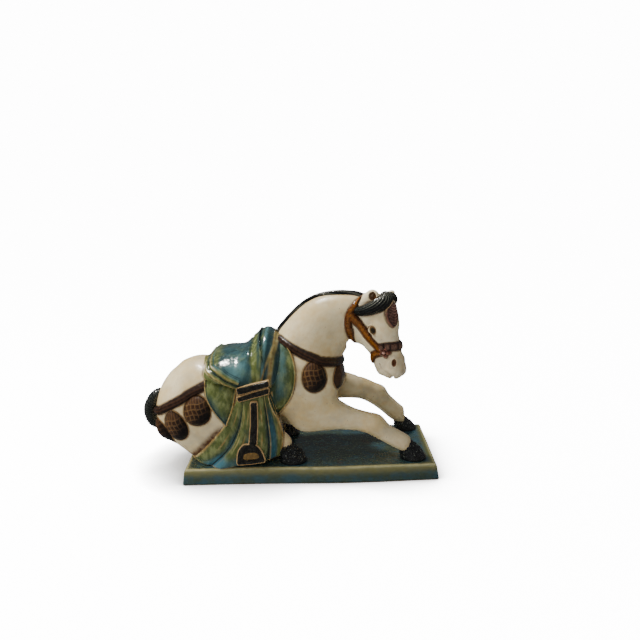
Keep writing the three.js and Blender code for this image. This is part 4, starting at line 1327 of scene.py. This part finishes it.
# A glossy glaze has two body colours, one for wear and painted highlights, one in its grooves and one on its
# rims
glossyLooks = {
    "strapGlaze": ({"dark": (20, 12, 8), "body": (42, 25, 16), "wornAndHighlight": (96, 62, 36), "deep": (9, 6, 5),
                    "rim": (158, 120, 74)}, {"rough": 0.26, "coat": 0.15}),
    "blackGlaze": ({"dark": (15, 15, 13), "body": (44, 41, 35), "wornAndHighlight": (118, 92, 48), "deep": (3, 3, 3),
                    "rim": (188, 156, 108)}, {"lumps": 0.0001}),
    # the hooves' light colour is painted glints
    "hoofGlaze": ({"dark": (15, 16, 17), "body": (42, 44, 46), "wornAndHighlight": (132, 136, 128), "deep": (3, 3, 4)},
                  {"rough": 0.05, "lumps": 0.0009, "grain": 2.2, "flecksAndGlints": 0.6}),
    # its light colour is painted highlight on the forelock's strands, and paler streaks on the mane
    "hairGlaze": ({"dark": (12, 15, 17), "body": (32, 38, 40), "wornAndHighlight": (134, 134, 118), "deep": (4, 5, 6)},
                  {"rough": 0.14}),
    "tailGlaze": ({"dark": (12, 14, 14), "body": (28, 32, 30), "wornAndHighlight": (60, 66, 60), "deep": (3, 4, 4)},
                  {"rough": 0.2}),
    "amberGlaze": ({"dark": (72, 35, 8), "body": (116, 62, 14), "wornAndHighlight": (176, 114, 40), "deep": (36, 18, 6)},
                   {"rough": 0.2, "coat": 0.2}),
    "noseGlaze": ({"dark": (44, 25, 19), "body": (78, 47, 38), "wornAndHighlight": (146, 112, 92), "deep": (16, 10, 8)},
                  {"rough": 0.2, "coat": 0.3}),
    "leafGlaze": ({"dark": (96, 56, 50), "body": (136, 92, 80), "wornAndHighlight": (166, 130, 116), "deep": (24, 15, 15),
                   "rim": (196, 168, 124)}, {"rough": 0.14, "lumps": 0.0001}),
    # its light colour is the pink knob with a painted highlight
    "rosetteGlaze": ({"dark": (92, 44, 32), "body": (130, 74, 58), "wornAndHighlight": (214, 168, 152),
                      "deep": (48, 20, 13)}, {"rough": 0.08}),
    "eyeGlaze": ({"dark": (112, 88, 48), "body": (92, 70, 38), "wornAndHighlight": (150, 124, 80), "deep": (28, 22, 11),
                  "rim": (104, 64, 28)}, {"rough": 0.3, "grain": 1.5}),
}
# edge is the colour of the painted highlight along the rounded top edge
plinthLook = {
    "sea": (54, 84, 94), "green": (62, 78, 66), "olive": (100, 100, 58), "edge": (212, 204, 152),
    "foot": (96, 76, 42), "brown": (84, 60, 38), "dark": (22, 40, 48),
}


def creamGlaze(name, look):
    g = Glaze(name, look)
    look = g.look
    broad, fine = g.noise(34, 3), g.noise(5, 4, shift=3.1)
    colour = (broad * 0.75 + fine * 0.3).between(0.38, 0.7).mix(look["pale"], look["warm"])
    colour = (g.noise(22, 3, shift=8.2).between(0.5, 0.74) * 0.5).mix(colour, look["cool"])
    speck = (1 - g.cells(2.6).between(0.1, 0.2)) * g.noise(7, 1, shift=5.0).between(0.56, 0.66)
    colour = (speck * 0.55).mix(colour, look["speck"])
    # brown glaze pooled beside what lies on the cream, darker marks on the face, and painted shade on the
    # lower muzzle and in the crease behind the skirt
    halo = (g.painted("stain") * (0.55 + 0.9 * g.noise(4, 3, shift=1.7))).clipped()
    colour = halo.mix(colour, look["stain"])
    colour = g.painted("hollow").mix(colour, look["hollow"])
    rough = 0.24 + 0.2 * g.noise(9, 2, shift=2.2)
    return g.finish(colour, rough, g.noise(7, 3, shift=4.4), lumps=0.0004, coat=0.14)


def clothGlaze():
    g = Glaze("clothGlaze", clothLook)
    look, run = g.look, (1.0, 1.0, 2.4)     # the glaze has run downwards
    broad, mottle = g.noise(14, 3), g.noise(4.2, 3, shift=2.6, rough=0.55, stretch=run)
    olive = (g.painted("olive") + (g.noise(9, 4, shift=7.7, stretch=run) - 0.5) * 1.3).between(-0.1, 0.85)
    light = (g.painted("pale") + (broad * 0.6 + mottle * 0.5 - 0.55) * 0.9).clipped()
    blue = light.mix(look["teal"], look["light"])
    blue = (mottle.between(0.54, 0.8) * 0.6 * (1 - g.painted("pale"))).mix(blue, look["ink"])
    green = mottle.between(0.4, 0.72).mix(look["olive"], look["moss"])
    green = (broad.between(0.55, 0.75) * 0.5).mix(green, look["teal"])
    blue = (g.painted("stain") * (0.5 + 0.9 * mottle)).clipped().mix(blue, look["blue"])
    olive = olive * (1 - 0.75 * g.painted("stain"))
    colour = olive.mix(blue, green)
    gold = (g.painted("line") * (0.72 + 0.56 * g.noise(4, 2, shift=9.1))).clipped()
    colour = gold.mix(colour, g.noise(6, 2, shift=4.0).between(0.4, 0.7).mix(look["gold"], look["straw"]))
    colour = (g.painted("deep") * 0.95).clipped().mix(colour, look["crease"])
    rough = 0.1 + 0.14 * mottle
    return g.finish(colour, rough, mottle + g.noise(9, 2, shift=3.3) * 1.5, lumps=0.00035, coat=0.5)


def glossyGlaze(name, look, rough=0.12, lumps=0.0003, grain=3.0, coat=0.5, flecksAndGlints=0.0):
    g = Glaze(name, look)
    look, mottle = g.look, g.noise(grain, 4, rough=0.65)
    colour = mottle.between(0.36, 0.7).mix(look["dark"], look["body"])
    patches = g.noise(grain * 0.8, 3, shift=3.3)
    # where the light colour shows: in worn patches, and on the hooves in small flecks of painted glint
    paler = flecksAndGlints * patches.between(0.58, 0.7) if flecksAndGlints else 0.4 + 1.1 * patches
    colour = (g.painted("pale") * paler).clipped().mix(colour, look["wornAndHighlight"])
    colour = (g.painted("deep") * 0.9).mix(colour, look["deep"])
    if "rim" in look:
        rim = (g.painted("line") * (0.6 + 0.8 * g.noise(3, 2, shift=6.1))).clipped()
        colour = rim.mix(colour, look["rim"])
    return g.finish(colour, rough + 0.16 * mottle, mottle + g.noise(6, 2, shift=1.1), lumps, coat)


def plinthGlaze():
    g = Glaze("plinthGlaze", plinthLook)
    look = g.look
    broad, mottle = g.noise(26, 3), g.noise(8, 3, shift=1.2)
    height = g.start.made("ShaderNodeSeparateXYZ", {"Vector": g.place}, output=2) / plinthHigh.z
    facing = g.start.made("ShaderNodeNewGeometry", {}, output=1)
    level = g.start.made("ShaderNodeSeparateXYZ", {"Vector": facing}, output=2)
    top = (0.65 * broad + 0.45 * mottle).between(0.42, 0.68).mix(look["sea"], look["green"])
    top = (mottle.between(0.6, 0.82) * 0.3).mix(top, look["dark"])
    band = (height + (broad - 0.5) * 0.4).between(0.4, 0.85)
    wall = band.mix((0.6 * mottle + 0.4 * broad).between(0.35, 0.65).mix(look["sea"], look["green"]),
                    (0.8 * mottle.between(0.45, 0.8)).mix(look["olive"], look["green"]))
    wall = ((1 - height.between(0.03, 0.12)) * 0.8).mix(wall, look["foot"])
    colour = level.between(0.45, 0.9).mix(wall, top)
    edge = g.painted("olive") * (0.5 + 0.9 * mottle)
    colour = (edge * level.between(0.8, 0.95)).clipped().mix(colour, look["olive"])
    # painted highlight along the rounded top edge
    colour = (g.painted("line") * (0.3 + 0.9 * mottle)).clipped().mix(colour, look["edge"])
    brown = g.noise(19, 3, shift=13.0).between(0.62, 0.74) * level.between(0.8, 0.95)
    colour = (brown * 0.7).mix(colour, look["brown"])
    return g.finish(colour, 0.14 + 0.16 * mottle, mottle + broad * 2, lumps=0.0003, coat=0.45)


# Pieces

def piece(name, forms, material, replaced="horse"):
    f = together(forms)
    mesh = bpy.data.meshes.new(name)
    points = toFrame(f["points"])
    quads, tris = f["quads"], f["tris"]
    loops = np.concatenate([quads.ravel(), tris.ravel()])
    starts = np.concatenate([np.arange(len(quads)) * 4, len(quads) * 4 + np.arange(len(tris)) * 3])
    mesh.vertices.add(len(points))
    mesh.vertices.foreach_set("co", points.ravel())
    mesh.loops.add(len(loops))
    mesh.loops.foreach_set("vertex_index", loops.astype(np.int32))
    mesh.polygons.add(len(starts))
    mesh.polygons.foreach_set("loop_start", starts.astype(np.int32))
    mesh.polygons.foreach_set("use_smooth", np.ones(len(starts), bool))
    mesh.update(calc_edges=True)
    mesh.validate()
    for paint, values in f["paint"].items():
        mesh.attributes.new(paint, "FLOAT", "POINT").data.foreach_set("value", values.astype(np.float32))
    mesh.materials.append(material)
    thing = bpy.data.objects.new(name, mesh)
    bpy.context.scene.collection.objects.link(thing)
    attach(thing, "root")
    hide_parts(replaced)
    print("piece:", name, len(quads) * 2 + len(tris), "triangles")


def nearLine(points, line, wide):
    spots = curveThrough(line, np.linspace(0, 1, 40))
    gap = np.min([np.linalg.norm(points - spot, axis=1) for spot in spots], axis=0)
    return 1 - blendStep(gap, 0.3 * wide, wide)


def halo(f):
    # glaze pools beside whatever lies on the cream
    gap = Surface(*overlays).distance(f["points"])
    return coated(f, stain=0.85 * (1 - blendStep(gap, 0.2, 1.5)), hollow=0)


def paintBody(f):
    f = halo(f)
    # brown glaze and painted shade lie in the crease along the skirt's rear edge
    x, y, z = f["points"].T
    edge = curveThrough([(x, 0, z) for x, _, z in skirtShape["ribs"][0]], np.linspace(0, 1, 50))
    gap = np.min([np.hypot(x - spot[0], z - spot[2]) for spot in edge], axis=0)
    crease = (1 - blendStep(gap, 1.5, 8)) * (1 - blendStep(z, 34, 46)) * blendStep(np.abs(y), 6, 16)
    f["paint"]["stain"] = np.maximum(f["paint"]["stain"], 0.95 * crease)
    return f


def paintHead(f):
    f = halo(f)
    local = straight(f["points"])
    for side in sides:
        flip = local * (1, side, 1)
        nostril = np.linalg.norm((flip - face["nostril"]["at"]) / face["nostril"]["stained"], axis=1)
        at, half = face["ear"]["near" if side < 0 else "off"]["hollow"]
        ear = np.linalg.norm((local - at) / (np.array(half) * 1.06), axis=1)
        f["paint"]["hollow"] = np.maximum(f["paint"]["hollow"], 1 - blendStep(nostril, 0.85, 1.1))
        # darker along the mouth, under the ear, along the tear line and the upper lid, in the ear's hollow
        # and in the dimple; the fifth mark is painted shade over the lower muzzle, darkest below 92 and gone
        # above 108
        creases = [
            0.5 * nearLine(flip, face["mouth"], 1.9), 0.75 * nearLine(flip, face["underEar"], 3.2),
            0.9 * nearLine(flip, face["tear"], 2.8), nearLine(flip, face["upperLid"], 1.9),
            0.22 * (1 - blendStep(local[:, 2], 92, 108)), 1.2 * (1 - blendStep(ear, 0.85, 1.1)),
            0.8 * (1 - blendStep(np.linalg.norm(flip - face["dimple"]["at"], axis=1), 0.6, 1.5)),
        ]
        f["paint"]["stain"] = np.max([f["paint"]["stain"], *creases], axis=0)
    return f


overlays = [*harness, *plaques, *flaps, *skirts, seat, *locks, *bridle, noseband, leaf, mane, *rosettes]
# the head is glazed with the lighter copy of the cream, which paints light on the face
cream, litFaceCream = creamGlaze("creamGlaze", creamLook), creamGlaze("litFaceGlaze", litFaceLook)
cloth = clothGlaze()
glossy = {name: glossyGlaze(name, look, **finish) for name, (look, finish) in glossyLooks.items()}

piece("creamBody", [paintBody(body)], cream)
piece("creamHead", [paintHead(head)], litFaceCream)
piece("skirts", skirts, cloth)
piece("flaps", flaps, cloth)
piece("seat", [seat], cloth)
piece("cantleRolls", [rolls], cloth)
piece("beltBars", bars, glossy["blackGlaze"])
piece("stirrupLeathers", leathers, glossy["blackGlaze"])
piece("stirrups", bells, glossy["blackGlaze"])
piece("straps", harness, glossy["strapGlaze"])
piece("plaques", plaques, glossy["strapGlaze"])
piece("mane", [mane], glossy["hairGlaze"])
piece("forelocks", locks, glossy["hairGlaze"])
piece("browLeaf", [leaf], glossy["leafGlaze"])
piece("bridle", bridle, glossy["amberGlaze"])
piece("noseband", [noseband], glossy["noseGlaze"])
piece("rosettes", rosettes, glossy["rosetteGlaze"])
piece("eyes", eyes, glossy["eyeGlaze"])
piece("tail", [makeTail()], glossy["tailGlaze"])
piece("hooves", [makeHoof(*place) for place in hoofShape["places"]], glossy["hoofGlaze"])
piece("plinthSlab", [plinth], plinthGlaze(), "plinth")

# Camera, light and floor

photoView = {
    "at": (0.01419, -0.57136, 0.27367), "yaw": -0.14, "pitch": 12.63, "roll": -1.58,    # metres and degrees
    "lens": 33.75, "sensor": 36, "clipStart": 0.01,
}


def makeCamera():
    yaw, pitch, roll = (math.radians(photoView[key]) for key in ("yaw", "pitch", "roll"))
    ahead = np.array([math.sin(yaw) * math.cos(pitch), math.cos(yaw) * math.cos(pitch), -math.sin(pitch)])
    right = unit(np.cross(ahead, (0, 0, 1)))
    up = np.cross(right, ahead)
    right, up = right * math.cos(roll) + up * math.sin(roll), up * math.cos(roll) - right * math.sin(roll)
    camera = bpy.data.objects.new("photoCamera", bpy.data.cameras.new("photoCamera"))
    bpy.context.scene.collection.objects.link(camera)
    camera.data.lens = photoView["lens"]
    camera.data.sensor_width = photoView["sensor"]
    camera.data.sensor_fit = "HORIZONTAL"
    camera.data.clip_start = photoView["clipStart"]
    camera.matrix_world = Matrix([[*row, place] for row, place in zip(
        np.stack([right, up, -ahead], 1), photoView["at"])] + [[0, 0, 0, 1]])
    bpy.context.scene.camera = camera


studio = {
    # only the key is mirrored in the glaze
    "lamps": {
        "key": {"at": (-0.24, 0.25, 0.92), "size": (0.08, 0.11), "power": 6.5, "tint": (1, 0.97, 0.91)},
        "front": {"at": (-0.15, -0.9, 0.6), "size": (0.5, 0.7), "power": 2.5, "tint": (1, 0.99, 0.96)},
        "above": {"at": (-0.38, -0.05, 0.88), "size": (0.8, 0.9), "power": 3.4, "tint": (1, 0.99, 0.97)},
        "left": {"at": (-0.8, -0.05, 0.55), "size": (0.4, 0.4), "power": 7.0, "tint": (1, 0.97, 0.9)},
    },
    "aim": (-0.02, 0, 0.08), "sky": 0.1, "backdrop": 14.0,
    "floor": (0.6, 0.6, 0.6), "floorHalf": 8, "floorGlow": 14.0, "contact": 0.05, "contactPower": 4.5,
}


def softBox(name):
    box = studio["lamps"][name]
    lamp = bpy.data.lights.new(name + "Light", "AREA")
    lamp.shape = "RECTANGLE"
    lamp.size, lamp.size_y = box["size"]
    lamp.energy, lamp.color = box["power"], box["tint"]
    thing = bpy.data.objects.new(name + "Light", lamp)
    thing.location = box["at"]
    thing.rotation_euler = (Vector(box["at"]) - Vector(studio["aim"])).to_track_quat("Z", "Y").to_euler()
    thing.visible_glossy = name == "key"
    bpy.context.scene.collection.objects.link(thing)


def makeRoom():
    world = bpy.data.worlds.new("studio")
    world.use_nodes = True
    background = world.node_tree.nodes["Background"]
    background.inputs["Color"].default_value = (1, 1, 1, 1)
    # the backdrop is seen white, and lights the horse only a little
    sky = Value(world.node_tree)
    seen = sky.made("ShaderNodeLightPath", {}, output="Is Camera Ray")
    level = sky.made("ShaderNodeMapRange", {"Value": seen, "To Min": studio["sky"],
                                            "To Max": studio["backdrop"]})
    level.feed(background.inputs["Strength"])
    bpy.context.scene.world = world
    mesh = bpy.data.meshes.new("floor")
    far = studio["floorHalf"]
    mesh.from_pydata([(-far, -far, 0), (far, -far, 0), (far, far, 0), (-far, far, 0)], [], [(0, 1, 2, 3)])
    mesh.materials.append(bpy.data.materials.new("paper"))
    mesh.materials[0].use_nodes = True
    tree = mesh.materials[0].node_tree
    paper = tree.nodes["Principled BSDF"]
    paper.inputs["Base Color"].default_value = (*studio["floor"], 1)
    paper.inputs["Roughness"].default_value = 0.9
    paper.inputs["Specular IOR Level"].default_value = 0.0
    paper.inputs["Emission Strength"].default_value = studio["floorGlow"]
    # the paper darkens where the plinth shades it
    sheet = Value(tree)
    seen = sheet.made("ShaderNodeLightPath", {}, output="Is Camera Ray")
    clear = sheet.made("ShaderNodeAmbientOcclusion", {"Distance": studio["contact"]}, output="AO",
                       samples=16)
    (seen * clear ** studio["contactPower"]).feed(paper.inputs["Emission Color"])
    floor = bpy.data.objects.new("floor", mesh)
    bpy.context.scene.collection.objects.link(floor)
    floor.visible_glossy = False


makeCamera()
for name in studio["lamps"]:
    softBox(name)
makeRoom()
